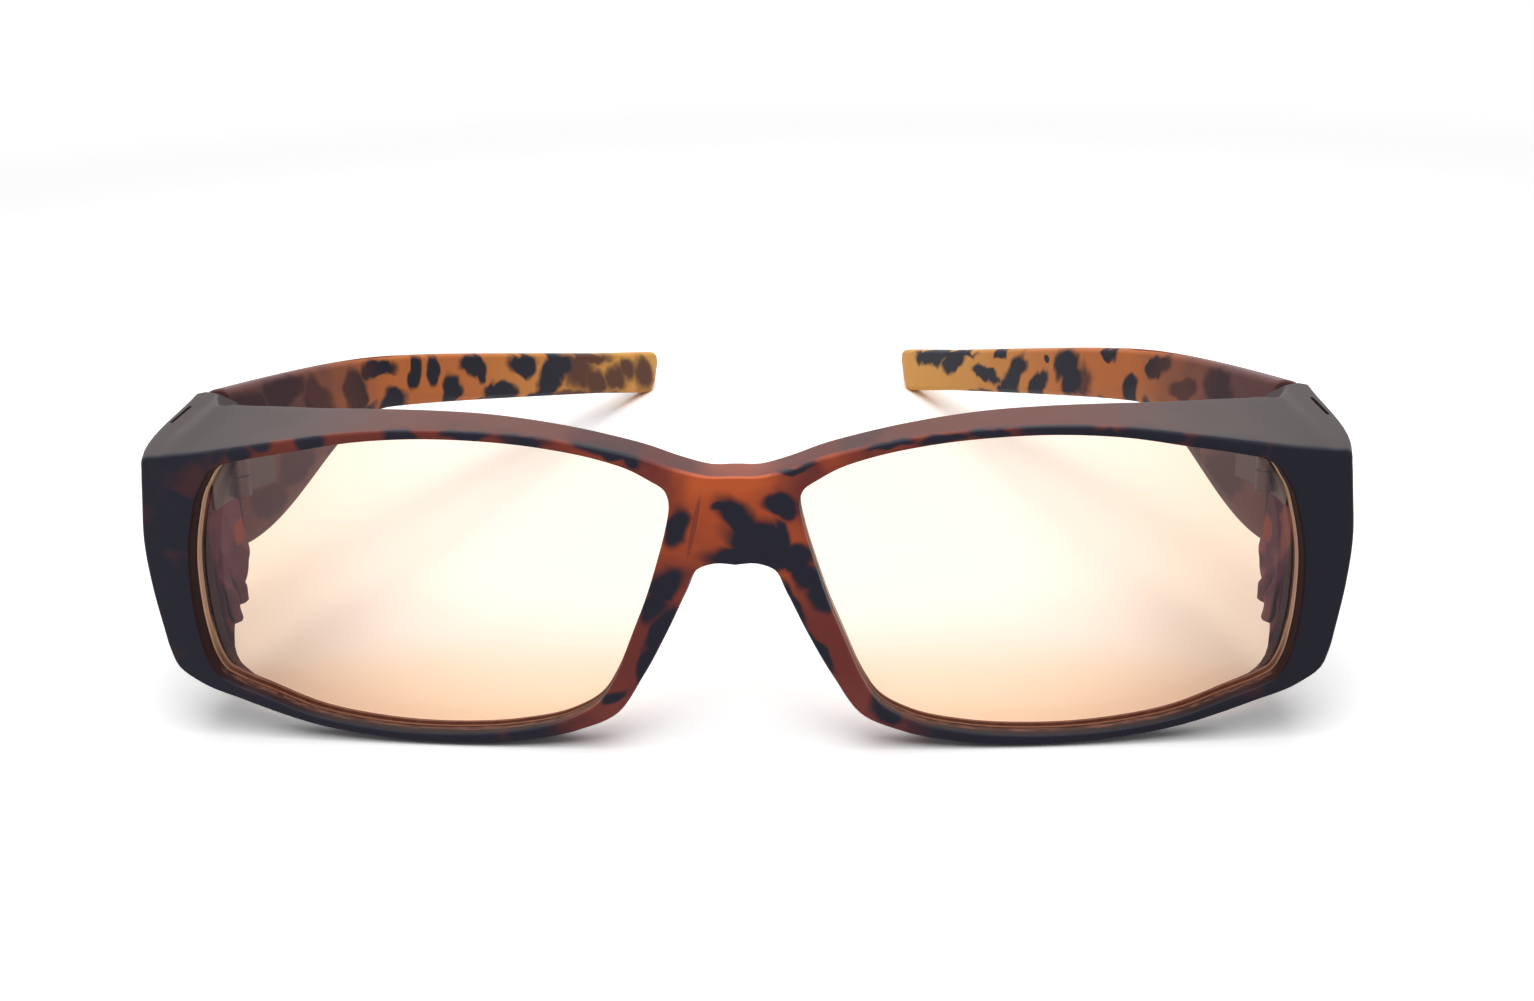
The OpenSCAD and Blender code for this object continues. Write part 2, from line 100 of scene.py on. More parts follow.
# One row per rib of the front's loft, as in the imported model: the opening's edge as shares of its
# width and height, the way to the outer edge in x and z, the way on to the rear in x, y and z,
# and the way of the wall's thickness in x and z
RIBS = np.array([
    [0.000, 0.810, -10, 2.4, 0, 6.1, 0.3, 1, 0],
    [0.010, 0.842, -5.6, 1.4, 0, 6, 0.4, 0.5, -0.6],
    [0.033, 0.866, -3.5, 1.3, 0, 5.8, 0.6, 0.2, -0.9],
    [0.075, 0.903, -2.1, 1.3, 0, 5.5, 0.7, 0, -1],
    [0.141, 0.938, -1.1, 1.2, 0, 5.6, 0.8, 0, -1],
    [0.249, 0.973, -0.7, 1.2, 0, 6.1, 0.8, 0, -1],
    [0.381, 0.995, -0.4, 1.1, 0, 7, 1, 0, -1],
    [0.498, 1.000, -0.5, 1.1, 0, 7.6, 1.1, 0, -1],
    [0.630, 0.987, -0.6, 1.3, 0, 8.4, 1.4, 0, -1],
    [0.763, 0.952, -0.3, 1.6, -1, 10.2, 2.1, 0, -1],
    [0.862, 0.925, 0.6, 1.6, -1, 11.8, 3, 0, -1],
    [0.910, 0.905, 3.7, 1.5, -1.5, 13.2, 3.7, 0, -1],
    [0.935, 0.877, 6.5, 2.1, -2, 14.8, 4.3, -0.5, -1],
    [0.952, 0.836, 7.6, 3.3, -0.2, 30, 5, -1, -1],
    [0.962, 0.810, 7.2, 3, -0.3, 30, 4.5, -1, -0.6],
    [0.980, 0.724, 6.5, 2.8, -0.6, 30, 4, -1, -0.2],
    [0.997, 0.590, 6, 2, -1.1, 30, 3.3, -1, 0],
    [1.000, 0.456, 5.5, 1.6, -1, 30, 3.2, -1, 0],
    [0.993, 0.322, 5.1, 1, -0.8, 17.8, 4.1, -1, 0.2],
    [0.982, 0.241, 5.2, 1, -0.7, 16, 4, -0.9, 0.6],
    [0.965, 0.188, 5.4, 0.8, -0.5, 12.8, 3, -0.7, 1],
    [0.934, 0.158, 4.6, -0.1, -0.3, 8.7, 1.7, -0.3, 1.1],
    [0.871, 0.118, 3.1, -0.7, 0, 5.6, 0.5, -0.1, 1],
    [0.763, 0.052, 1.2, -1, 0, 4.6, 0.1, 0, 1],
    [0.630, 0.013, 0.4, -1.1, 0, 4.5, 0, 0, 1],
    [0.481, 0.000, -0.5, -1.3, 0, 4.5, 0, 0, 1],
    [0.332, 0.016, -0.6, -1.4, 0, 4.5, 0, 0, 1],
    [0.224, 0.056, -1.4, -1.4, 0, 4.5, 0, 0, 1],
    [0.159, 0.115, -2.6, -1.2, 0, 4.5, 0, 0.3, 0.7],
    [0.124, 0.196, -3.7, 0.5, 0, 4.6, 0, 1, 0],
    [0.083, 0.349, -4.5, 0.7, 0, 4.8, 0, 1, 0],
    [0.050, 0.483, -4.9, 0.7, 0, 5.2, 0, 1, 0],
    [0.032, 0.571, -5.3, 0.2, 0, 5.4, 0, 0.9, 0.2],
    [0.020, 0.633, -6.8, -1.4, 0, 5.6, 0, 0.6, 0.6],
    [0.008, 0.702, -10.5, -4.1, 0, 5.8, 0, 0.3, 0.9],
])
# The table's widest rib and the one beside the hinge
WIDEST, BY_HINGE = 17, 16
# Where the rim's flat back starts and ends, as shares of the way in to the opening
FLAT_OUT, FLAT_IN = 0.3, 0.6
# Roundings of the returns' and the brow's inner edges
INNER_REAR_R, INNER_RIM_R = 0.3, 0.8
# How fine the shapes are
RIB_STEP = 0.75
LIP_STEPS, CREASE_STEPS, SIDE_STEPS, REAR_STEPS = 3, 5, 9, 4
INNER_REAR_STEPS, INNER_RIM_STEPS = 3, 4
SLOT_STEPS = 8
ARM_STEPS, TIP_STEPS = 90, 10
ARM_EDGE_STEPS, ARM_TOP_STEPS = 5, 7
LENS_SHARES = (0.04, 0.12, 0.25, 0.4, 0.55, 0.7, 0.82, 0.91, 0.97, 1.0)
LENS_BEVEL = 0.1
# A bevelled temple edge's control point, and the most of the thickness that an edge takes
BEVEL_BOW = (0.6, 0.1)
EDGE_SHARE = 0.4
# How far the tip's rounding turns
TIP_TURN = math.radians(86)
# How far the cutting shapes pass the surface that they open
LEAF_OPEN = 1.0
SLOT_UNDER, SLOT_OVER = 1.0, 2.0
# A rib's least reach and half width, how deep its root lies in the wall, and the way to the wall
RIB_THIN, RIB_SUNK, RIB_PROBE = 0.02, 0.4, 14.0
# Points this near the middle plane are on it, and points this near each other are one
ON_MIDDLE, SAME_POINT = 1e-4, 1e-3
MM = 0.001
SIDES = {1: "left", -1: "right"}

HALF_W = OPENING_IN + LENS_W + RIBS[WIDEST][2]
FACE_R = HALF_W * HALF_W / (2 * WRAP)
GROOVE_FRONT = LENS_RECESS + (LENS_T - TONGUE_T) / 2 - LENS_PLAY
GROOVE_BACK = GROOVE_FRONT + TONGUE_T + 2 * LENS_PLAY
GROOVE_REACH = TONGUE_REACH + LENS_PLAY


def mix(a, b, t):
    return a + (b - a) * t


def clamp(v):
    return max(0.0, min(1.0, v))


def at(p, y):
    """The point at [x, z] and y."""
    return np.array([p[0], y, p[1]])


def face_y(x):
    return FACE_R - np.sqrt(FACE_R * FACE_R - x * x)


def opening(row):
    return np.array([OPENING_IN + row[0] * LENS_W, OPENING_LOW + row[1] * LENS_H])


def outer(row):
    return opening(row) + row[[2, 3]]


def rounded(start, corner, end, steps, with_start=True):
    """Points on a quarter of an ellipse from start to end round a corner."""
    start, corner, end = map(np.asarray, (start, corner, end))
    points = []
    for i in range(0 if with_start else 1, steps + 1):
        a = math.pi / 2 * i / steps
        points.append(start + (corner - start) * math.sin(a) + (end - corner) * (1 - math.cos(a)))
    return points


def fine_ribs():
    """The rib table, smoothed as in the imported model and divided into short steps."""
    n = len(RIBS)
    gaps = []
    for i in range(n):
        a, b = RIBS[i], RIBS[(i + 1) % n]
        inside, outside = opening(b) - opening(a), outer(b) - outer(a)
        gaps.append((np.linalg.norm(inside) + np.linalg.norm(outside)) / 2)

    def slope(i):
        before, after = gaps[i - 1], gaps[i % n]
        row, last, following = RIBS[i % n], RIBS[i - 1], RIBS[(i + 1) % n]
        onwards = (following - row) * before / after
        so_far = (row - last) * after / before
        return (onwards + so_far) / (before + after)

    rows = []
    for i in range(n):
        a, b = RIBS[i], RIBS[(i + 1) % n]
        start, end = slope(i) * gaps[i], slope((i + 1) % n) * gaps[i]
        steps = max(1, round(gaps[i] / RIB_STEP))
        for j in range(steps):
            t = j / steps
            rows.append(
                a * (2 * t ** 3 - 3 * t * t + 1) + start * (t ** 3 - 2 * t * t + t)
                + b * (3 * t * t - 2 * t ** 3) + end * (t ** 3 - t * t)
            )
    return rows


ribs = fine_ribs()


def outward(i):
    way = opening(ribs[(i + 1) % len(ribs)]) - opening(ribs[i - 1])
    return np.array([-way[1], way[0]]) / np.linalg.norm(way)


def toward(a, b, distance):
    """The point at a distance from a on the way to b, at most halfway."""
    length = np.linalg.norm(b - a)
    return a + (b - a) * min(0.5, distance / max(length, 1e-6))


def rounded_corner(before, corner, after, radius, steps):
    """Points round the corner of two straight stretches."""
    start, end = toward(corner, before, radius), toward(corner, after, radius)
    return rounded(start, corner, end, steps)


def section(row, out):
    """One closed section of the front, from the opening's lip over the outside to the groove."""
    a, o = opening(row), outer(row)
    b = o + row[[4, 6]]
    front_y = face_y(o[0])
    back_y = min(front_y + row[5], JOINT_Y)
    depth = back_y - front_y
    leg = clamp((depth - RIM_D) / LEG_BLEND)
    wall = np.array([row[7] * SIDE_WALL, row[8] * SHELF_WALL])
    bulge = np.array([-row[7] * SIDE_BULGE * leg, 0.0])
    band = np.linalg.norm(o - a)
    turn = min(EDGE_R, band / 4)
    crease = o + (a - o) * turn / band
    first, last = turn / depth, 1 - BACK_R / depth

    def on_face(p, behind=0.0):
        return at(p, face_y(p[0]) + behind)

    def side(t):
        s = (t - first) / (1 - first)
        return at(mix(o, b, t) + bulge * BULGE_PEAK * s * (1 - s) * (1 - s), front_y + depth * t)

    # The lip, the face and the side
    lip = a + out * LIP_R
    points = rounded(on_face(a, LIP_R), on_face(a), on_face(lip), LIP_STEPS)
    points.append(mix(on_face(lip), on_face(crease), 0.5))
    points += rounded(on_face(crease), at(o, front_y), side(first), CREASE_STEPS)
    points += [side(mix(first, last, i / SIDE_STEPS)) for i in range(1, SIDE_STEPS + 1)]
    rear = at(b + wall * BACK_R / np.linalg.norm(wall), back_y)
    points += rounded(side(last), at(b, back_y), rear, REAR_STEPS, False)

    # The inner wall of a return or the brow, or the rim's flat back where there is none
    rim_o = mix(o, b, RIM_D / depth)
    rim_y = face_y(a[0]) + RIM_D
    flat_out, flat_in = mix(rim_o, a, FLAT_OUT), mix(rim_o, a, FLAT_IN)
    inner_rear = mix(on_face(flat_out, RIM_D), at(b + wall, back_y), leg)
    inner_rim = mix(on_face(flat_in, RIM_D), at(rim_o + wall, rim_y), leg)
    back_lip = at(a, rim_y)
    points += rounded_corner(rear, inner_rear, inner_rim, INNER_REAR_R, INNER_REAR_STEPS)
    points += [mix(inner_rear, inner_rim, t) for t in (0.25, 0.5, 0.75)]
    points += rounded_corner(inner_rear, inner_rim, back_lip, INNER_RIM_R, INNER_RIM_STEPS)

    # The back lip and the lens's groove
    lip_back = at(a, rim_y - LIP_R)
    points += rounded(toward(back_lip, inner_rim, LIP_R), back_lip, lip_back, LIP_STEPS)
    groove = a + out * GROOVE_REACH
    points += [
        on_face(a, GROOVE_BACK),
        on_face(groove, GROOVE_BACK),
        on_face(groove, GROOVE_FRONT),
        on_face(a, GROOVE_FRONT),
    ]
    return points


sections = np.array([section(row, outward(i)) for i, row in enumerate(ribs)])

# Place of the hinges, in the leaning front's own frame
RETURN_X = outer(RIBS[BY_HINGE])[0] + RIBS[BY_HINGE][4]
HINGE_X = RETURN_X - SIDE_WALL
AXIS_X = HINGE_X + LEAF_T - BARREL_D / 2
AXIS_Y = JOINT_Y + JOINT_GAP / 2

# The joint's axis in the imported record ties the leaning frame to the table
joint_place = next(j["pos_m"] for j in frame["joints"] if j["name"] == "fold_left")
SET_BACK = joint_place[1] / MM - (AXIS_Y * math.cos(LEAN) + HINGE_Z * math.sin(LEAN))
LIFT = joint_place[2] / MM - (HINGE_Z * math.cos(LEAN) - AXIS_Y * math.sin(LEAN))


def stood(points):
    """Points in mm of the leaning front's frame, as points in metres on the table."""
    p = np.asarray(points, float)
    y = p[..., 1] * math.cos(LEAN) + p[..., 2] * math.sin(LEAN) + SET_BACK
    z = p[..., 2] * math.cos(LEAN) - p[..., 1] * math.sin(LEAN) + LIFT
    return np.stack([p[..., 0], y, z], -1) * MM


def grid_faces(rings, n, loop):
    """Faces that join rings of n points each, closed into a loop or left open at the ends."""
    faces = []
    for i in range(rings if loop else rings - 1):
        for j in range(n):
            a, b = i * n + j, i * n + (j + 1) % n
            c, d = ((i + 1) % rings) * n + j, ((i + 1) % rings) * n + (j + 1) % n
            faces.append((a, b, d, c))
    return faces


def tube_faces(rings, n):
    """Faces that join rings of n points each into a tube with closed ends."""
    ends = [tuple(range(n)), tuple((rings - 1) * n + i for i in range(n))]
    return grid_faces(rings, n, False) + ends


def add_object(name, mesh):
    obj = bpy.data.objects.new(name, mesh)
    bpy.context.scene.collection.objects.link(obj)
    return obj


def make_mesh(name, points, faces):
    mesh = bpy.data.meshes.new(name)
    mesh.from_pydata([tuple(p) for p in points], [], faces)
    mesh.update()
    return mesh


def shade(obj, angle=38):
    """Smooth shading with sharp edges kept, weighted so that flat faces stay flat."""
    for polygon in obj.data.polygons:
        polygon.use_smooth = True
    obj.data.set_sharp_from_angle(angle=math.radians(angle))
    weighted = obj.modifiers.new("weighted", "WEIGHTED_NORMAL")
    weighted.keep_sharp = True


def face_outwards(mesh):
    work = bmesh.new()
    work.from_mesh(mesh)
    bmesh.ops.recalc_face_normals(work, faces=work.faces)
    work.to_mesh(mesh)
    work.free()


def place_on_table(mesh, co):
    """Gives a mesh its points in metres, none of them under the table top."""
    co[:, 2] = np.maximum(co[:, 2], 0.0)
    mesh.vertices.foreach_set("co", co.astype(np.float32).ravel())
    mesh.update()


def cut(obj, *tools):
    """Cuts closed meshes out of an object for good."""
    for tool in tools:
        step = obj.modifiers.new("cut", "BOOLEAN")
        step.operation = "DIFFERENCE"
        step.solver = "MANIFOLD"
        step.object = tool
    graph = bpy.context.evaluated_depsgraph_get()
    made = bpy.data.meshes.new_from_object(obj.evaluated_get(graph))
    obj.modifiers.clear()
    made.materials.clear()
    for polygon in made.polygons:
        polygon.material_index = 0
    obj.data = made
    for tool in tools:
        bpy.data.objects.remove(tool)


def block(low, high):
    """A box in mm as points and faces."""
    xs, ys, zs = zip(low, high)
    points = [(x, y, z) for x in xs for y in ys for z in zs]
    faces = [(0, 1, 3, 2), (4, 6, 7, 5), (0, 4, 5, 1), (2, 3, 7, 6), (0, 2, 6, 4), (1, 5, 7, 3)]
    return np.array(points, float), faces


def prism(outline, low, high):
    """A closed outline in x and y, drawn out from one height to another."""
    n = len(outline)
    points = [(x, y, low) for x, y in outline] + [(x, y, high) for x, y in outline]
    faces = [tuple(reversed(range(n))), tuple(range(n, 2 * n))]
    faces += [(i, (i + 1) % n, n + (i + 1) % n, n + i) for i in range(n)]
    return np.array(points, float), faces


def disc(x, y, radius, steps=40):
    turns = [2 * math.pi * i / steps for i in range(steps)]
    return [(x + radius * math.cos(a), y + radius * math.sin(a)) for a in turns]


def cutter(shape, side, move=lambda p: p):
    """A cutting object from points and faces in mm, for the +X or the -X side."""
    points, faces = shape
    moved = move(points) * np.array([side, 1.0, 1.0])
    mesh = make_mesh("cutter", stood(moved), faces)
    face_outwards(mesh)
    return add_object("cutter", mesh)


def barrel_room():
    low = HINGE_Z - BARREL_H / 2 - BARREL_CLEAR
    high = HINGE_Z + BARREL_H / 2 + HEAD_H + BARREL_CLEAR
    return prism(disc(AXIS_X, AXIS_Y, BARREL_D / 2 + BARREL_CLEAR), low, high)


def leaf_room():
    low = (HINGE_X - LEAF_OPEN, AXIS_Y - LEAF_L, HINGE_Z - BARREL_H / 2)
    high = (HINGE_X + LEAF_T, AXIS_Y, HINGE_Z + BARREL_H / 2)
    return block(low, high)


def slot_room():
    """The relief slot in the return's top, with rounded ends."""
    r = SLOT_W / 2
    half = SLOT_L / 2 - r
    outline = []
    for end, start in ((1, 0), (-1, math.pi)):
        for i in range(SLOT_STEPS + 1):
            a = start + math.pi * i / SLOT_STEPS
            outline.append((r * math.cos(a), end * half + r * math.sin(a)))
    c, s = math.cos(SLOT_TURN), math.sin(SLOT_TURN)
    middle = (HALF_W - SLOT_IN, JOINT_Y - SLOT_BACK)
    outline = [(middle[0] + x * c - y * s, middle[1] + x * s + y * c) for x, y in outline]
    return prism(outline, TEMPLE_TOP - SLOT_D - SLOT_UNDER, TEMPLE_TOP + SLOT_OVER)


def build_front():
    """The front: a loft of one half's sections, mirrored, stood on the table and cut."""
    rings, n = sections.shape[:2]
    mesh = make_mesh("front", sections.reshape(-1, 3), grid_faces(rings, n, True))
    work = bmesh.new()
    work.from_mesh(mesh)
    everything = work.verts[:] + work.edges[:] + work.faces[:]
    middle_plane = {"plane_co": (0, 0, 0), "plane_no": (1, 0, 0)}
    bmesh.ops.bisect_plane(work, geom=everything, clear_inner=True, **middle_plane)
    for v in work.verts:
        if abs(v.co.x) < ON_MIDDLE:
            v.co.x = 0.0
    half = work.verts[:] + work.edges[:] + work.faces[:]
    for v in bmesh.ops.duplicate(work, geom=half)["geom"]:
        if isinstance(v, bmesh.types.BMVert):
            v.co.x = -v.co.x
    seam = [v for v in work.verts if abs(v.co.x) < ON_MIDDLE]
    bmesh.ops.remove_doubles(work, verts=seam, dist=SAME_POINT)
    bmesh.ops.recalc_face_normals(work, faces=work.faces)
    work.to_mesh(mesh)
    work.free()
    place_on_table(mesh, stood([v.co[:] for v in mesh.vertices]))
    obj = add_object("front_shell", mesh)
    rooms = (barrel_room, leaf_room, slot_room)
    cut(obj, *[cutter(room(), side) for side in SIDES for room in rooms])
    shade(obj)
    return obj


def arm_height(s):
    return mix(TEMPLE_END_H, ARM_H, narrowed(s))


def narrowed(s):
    return 1.0 if s >= TAPER_L else (1 - math.cos(math.pi * s / TAPER_L)) / 2


def bend(s):
    return (math.hypot(s - BEND_AT, BEND_SOFT) + s - BEND_AT) / 2


def arm_outline(s):
    """Cross-section of a temple at s, as [x from the inner face, z from the upper edge]."""
    h, t = arm_height(s), mix(TEMPLE_END_T, ARM_T, narrowed(s))
    q = clamp((s - TEMPLE_L + TIP_L) / TIP_L)
    k = TIP_R * (1 - math.sqrt(1 - q * q))
    near = min(k, t / 3)
    far = t - near
    e = min(ARM_EDGE, EDGE_SHARE * (t - 2 * near))
    wide = 1 - clamp((s - TAPER_L) / BEVEL_FADE)
    bevel_h, bevel_d = mix(e, BEVEL_H, wide), max(e, BEVEL_D * wide)
    top_w, top_h = mix(e, TOP_W, wide), mix(e, TOP_H, wide)
    bottom = k - h
    bow = [near + bevel_d * BEVEL_BOW[0], bottom + bevel_h * BEVEL_BOW[1]]
    return (
        rounded([near, bottom + bevel_h], bow, [near + bevel_d, bottom], ARM_EDGE_STEPS)
        + rounded([far - e, bottom], [far, bottom], [far, bottom + e], ARM_EDGE_STEPS)
        + rounded([far, -top_h - k], [far, -k], [far - top_w, -k], ARM_TOP_STEPS)
        + rounded([near + e, -k], [near, -k], [near, -e - k], ARM_EDGE_STEPS)
    )


def arm_rings():
    """A temple's cross-sections before it bends down, and how far past the bend each lies."""
    straight = TEMPLE_L - TIP_L
    places = [straight * i / ARM_STEPS for i in range(ARM_STEPS + 1)]
    turns = [TIP_TURN * i / TIP_STEPS for i in range(1, TIP_STEPS + 1)]
    places += [straight + TIP_L * math.sin(turn) for turn in turns]
    rings, past = [], []
    for s in places:
        slant = TIP_SLANT * clamp((s - TEMPLE_L + TIP_SLANT_L) / TIP_SLANT_L)
        inner = HINGE_X - math.tan(SPLAY) * s - s * s / (2 * BOW_R)
        ring = []
        for p in arm_outline(s):
            y = JOINT_Y + JOINT_GAP + s + slant * (p[1] + arm_height(s) / 2)
            ring.append([inner + p[0], y, TEMPLE_TOP + p[1]])
        rings.append(ring)
        past.append(bend(s) - bend(0))
    return np.array(rings), np.array(past)


def turned(points, angle):
    """Points turned about the joint's axis."""
    x, y = points[..., 0] - AXIS_X, points[..., 1] - AXIS_Y
    c, s = math.cos(angle), math.sin(angle)
    return np.stack([AXIS_X + x * c - y * s, AXIS_Y + x * s + y * c, points[..., 2]], -1)


def temple_side(points):
    """Turns the room of the front's leaf over to the temple's side of the axis."""
    p = points.copy()
    p[:, 1] = 2 * AXIS_Y - p[:, 1]
    return turned(turned(p, SPLAY), FOLD)


def build_temple(name, side):
    """A temple, bent down until its lower edge just meets the table, and cut for its hinge."""
    rings, past = arm_rings()
    heights = stood(turned(rings, FOLD))[..., 2] / MM
    bent = past > BEND_SOFT
    droop = np.min(heights[bent] / (past[bent][:, None] * math.cos(LEAN)))
    rings[..., 2] -= droop * past[:, None]
    first = rings[0]
    centre = first.mean(0)
    away = first - centre
    inset = centre + away * (1 - END_ROUND / np.linalg.norm(away, axis=1))[:, None]
    shifted = first.copy()
    shifted[:, 1] += END_ROUND
    rings = np.concatenate([inset[None], shifted[None], rings[1:]])
    points = turned(rings, FOLD).reshape(-1, 3) * np.array([side, 1.0, 1.0])
    mesh = make_mesh(name, stood(points), tube_faces(*rings.shape[:2]))
    place_on_table(mesh, np.array([v.co for v in mesh.vertices]))
    face_outwards(mesh)
    obj = add_object(name, mesh)
    cut(obj, cutter(barrel_room(), side), cutter(leaf_room(), side, temple_side))
    shade(obj)
    return obj


def build_lens(name, side):
    """A lens: curved front and back, with the edge and its tongue as a second material."""
    outline = [opening(row) for row in ribs]
    outs = [outward(i) for i in range(len(ribs))]
    centre = np.mean(outline, 0)
    n = len(outline)
    front_y, back_y = LENS_RECESS, LENS_RECESS + LENS_T
    step = (LENS_T - TONGUE_T) / 2
    profile = [
        (-LENS_PLAY, front_y + LENS_BEVEL),
        (-LENS_PLAY, front_y + step),
        (TONGUE_REACH, front_y + step),
        (TONGUE_REACH, front_y + step + TONGUE_T),
        (-LENS_PLAY, front_y + step + TONGUE_T),
        (-LENS_PLAY, back_y - LENS_BEVEL),
    ]
    edge_rings = []
    for grow, y in profile:
        grown = [p + o * grow for p, o in zip(outline, outs)]
        edge_rings.append([at(p, face_y(p[0]) + y) for p in grown])

    def face_ring(share, depth):
        ring = []
        for p, o in zip(outline, outs):
            q = mix(centre, p - o * (LENS_PLAY + LENS_BEVEL), share)
            ring.append(at(q, face_y(q[0]) + depth))
        return ring

    front_rings = [face_ring(share, front_y) for share in LENS_SHARES]
    back_rings = [face_ring(share, back_y) for share in reversed(LENS_SHARES)]
    rings = np.array(front_rings + edge_rings + back_rings)
    points = rings.reshape(-1, 3)
    edge_from, edge_to = len(front_rings) * n, (len(front_rings) + len(edge_rings) - 1) * n
    tips = [at(centre, face_y(centre[0]) + depth) for depth in (front_y, back_y)]
    last = (len(rings) - 1) * n
    faces = grid_faces(len(rings), n, False)
    faces += [(len(points), (i + 1) % n, i) for i in range(n)]
    faces += [(len(points) + 1, last + i, last + (i + 1) % n) for i in range(n)]
    points = np.concatenate([points, tips]) * np.array([side, 1.0, 1.0])
    mesh = make_mesh(name, stood(points), faces)
    for i, polygon in enumerate(mesh.polygons):
        polygon.material_index = 1 if edge_from <= i < edge_to else 0
    face_outwards(mesh)
    obj = add_object(name, mesh)
    shade(obj, angle=30)
    return obj


def build_ribs(name, side):
    """Two short upright ribs on the inner wall of a return, with rounded lower ends."""
    points, faces = [], []
    for y in RIB_PLACES:
        rings = []
        wall = None
        for i in range(RIB_ROWS + 1):
            z = mix(RIB_HIGH, RIB_LOW, i / RIB_ROWS)
            round_end = math.sqrt(1 - (1 - min(1.0, (z - RIB_LOW) / RIB_ROUND)) ** 2)
            reach = max(RIB_THIN, RIB_REACH * round_end * clamp((RIB_HIGH - z) / RIB_FADE))
            half = max(RIB_THIN, RIB_W / 2 * round_end)
            start = Vector((side * (RETURN_X - RIB_PROBE) * MM, y * MM, z * MM))
            hit, spot = front.ray_cast(start, Vector((side, 0.0, 0.0)))[:2]
            wall = spot.x / MM if hit else wall
            root = wall + side * RIB_SUNK
            turns = [math.pi * j / RIB_TURNS for j in range(RIB_TURNS + 1)]
            ring = [(wall - side * reach * math.sin(a), y - half * math.cos(a), z) for a in turns]
            rings.append(ring + [(root, y + half, z), (root, y - half, z)])
        first = len(points)
        own = tube_faces(len(rings), len(rings[0]))
        faces += [tuple(first + k for k in face) for face in own]
        points += [q for ring in rings for q in ring]
    mesh = make_mesh(name, np.array(points) * MM, faces)
    face_outwards(mesh)
    obj = add_object(name, mesh)
    shade(obj)
    return obj


front = build_front()
temples = {side: build_temple("temple_arm_" + word, side) for side, word in SIDES.items()}
lenses = {side: build_lens("lens_glass_" + word, side) for side, word in SIDES.items()}
return_ribs = {side: build_ribs("return_ribs_" + word, side) for side, word in SIDES.items()}


def new_material(name):
    material = bpy.data.materials.new(name)
    material.use_nodes = True
    tree = material.node_tree
    return material, tree, tree.nodes["Principled BSDF"]


def feed(tree, node, inputs):
    """Gives a node's inputs their values or links."""
    for key, value in dict(inputs).items():
        if isinstance(value, bpy.types.NodeSocket):
            tree.links.new(value, node.inputs[key])
        else:
            node.inputs[key].default_value = value


def put(tree, kind, inputs=(), **settings):
    """A new node with its settings and inputs."""
    node = tree.nodes.new("ShaderNode" + kind)
    for key, value in settings.items():
        setattr(node, key, value)
    feed(tree, node, inputs)
    return node


def show(tree, shader):
    """Makes a shader what the material shows."""
    feed(tree, tree.nodes["Material Output"], {"Surface": shader.outputs[0]})


def calc(tree, operation, *values):
    return put(tree, "Math", dict(enumerate(values)), operation=operation).outputs[0]


def times(tree, a, b):
    return calc(tree, "MULTIPLY", a, b)


def largest(tree, *values):
    total = values[0]
    for value in values[1:]:
        total = calc(tree, "MAXIMUM", total, value)
    return total


def split(tree, vector):
    """A vector's x, y and z as three outputs."""
    return put(tree, "SeparateXYZ", {0: vector}).outputs


def vector_calc(tree, operation, inputs):
    return put(tree, "VectorMath", inputs, operation=operation).outputs[0]


def rise(tree, value, low, high):
    """0 below low and 1 above high, with a smooth way between them."""
    if low > high:
        return calc(tree, "SUBTRACT", 1.0, rise(tree, value, high, low))
    limits = {"Value": value, "From Min": low, "From Max": high}
    return put(tree, "MapRange", limits, interpolation_type="SMOOTHSTEP").outputs["Result"]


def blend(tree, share, a, b, most=1.0):
    """Two colours mixed, where share times most is the part of the second."""
    if most < 1.0:
        share = times(tree, share, most)
    node = put(tree, "Mix", {0: share}, data_type="RGBA")
    for socket, colour in ((node.inputs[6], a), (node.inputs[7], b)):
        if isinstance(colour, bpy.types.NodeSocket):
            tree.links.new(colour, socket)
        else:
            socket.default_value = (*colour, 1.0)
    return node.outputs[2]


def noise(tree, place, scale, detail=2.0, output="Fac"):
    inputs = {"Vector": place, "Scale": scale, "Detail": detail}
    return put(tree, "TexNoise", inputs).outputs[output]


def place_mm(tree):
    place = put(tree, "TexCoord").outputs["Object"]
    return vector_calc(tree, "SCALE", {0: place, "Scale": 1 / MM})


def behind_face(tree, place):
    """How far in mm a place lies behind the front's curved face."""
    x, y, z = split(tree, place)
    lean_y = times(tree, calc(tree, "SUBTRACT", y, SET_BACK), math.cos(LEAN))
    lean_z = times(tree, calc(tree, "SUBTRACT", z, LIFT), math.sin(LEAN))
    curve = calc(tree, "DIVIDE", times(tree, x, x), 2 * FACE_R)
    return calc(tree, "SUBTRACT", calc(tree, "SUBTRACT", lean_y, lean_z), curve)


def shaken(tree, place, scale, reach):
    """The place, moved by up to about reach in mm in all directions by a soft noise."""
    field = noise(tree, place, scale, 1.0, "Color")
    centred = vector_calc(tree, "SUBTRACT", {0: field, 1: (0.5, 0.5, 0.5)})
    sized = vector_calc(tree, "SCALE", {0: centred, "Scale": 2.0 * reach})
    return vector_calc(tree, "ADD", {0: place, 1: sized})


def wander(tree, place, scale, reach):
    """A soft noise about zero, in mm, that goes up and down by up to half of reach."""
    return times(tree, calc(tree, "SUBTRACT", noise(tree, place, scale), 0.5), reach)


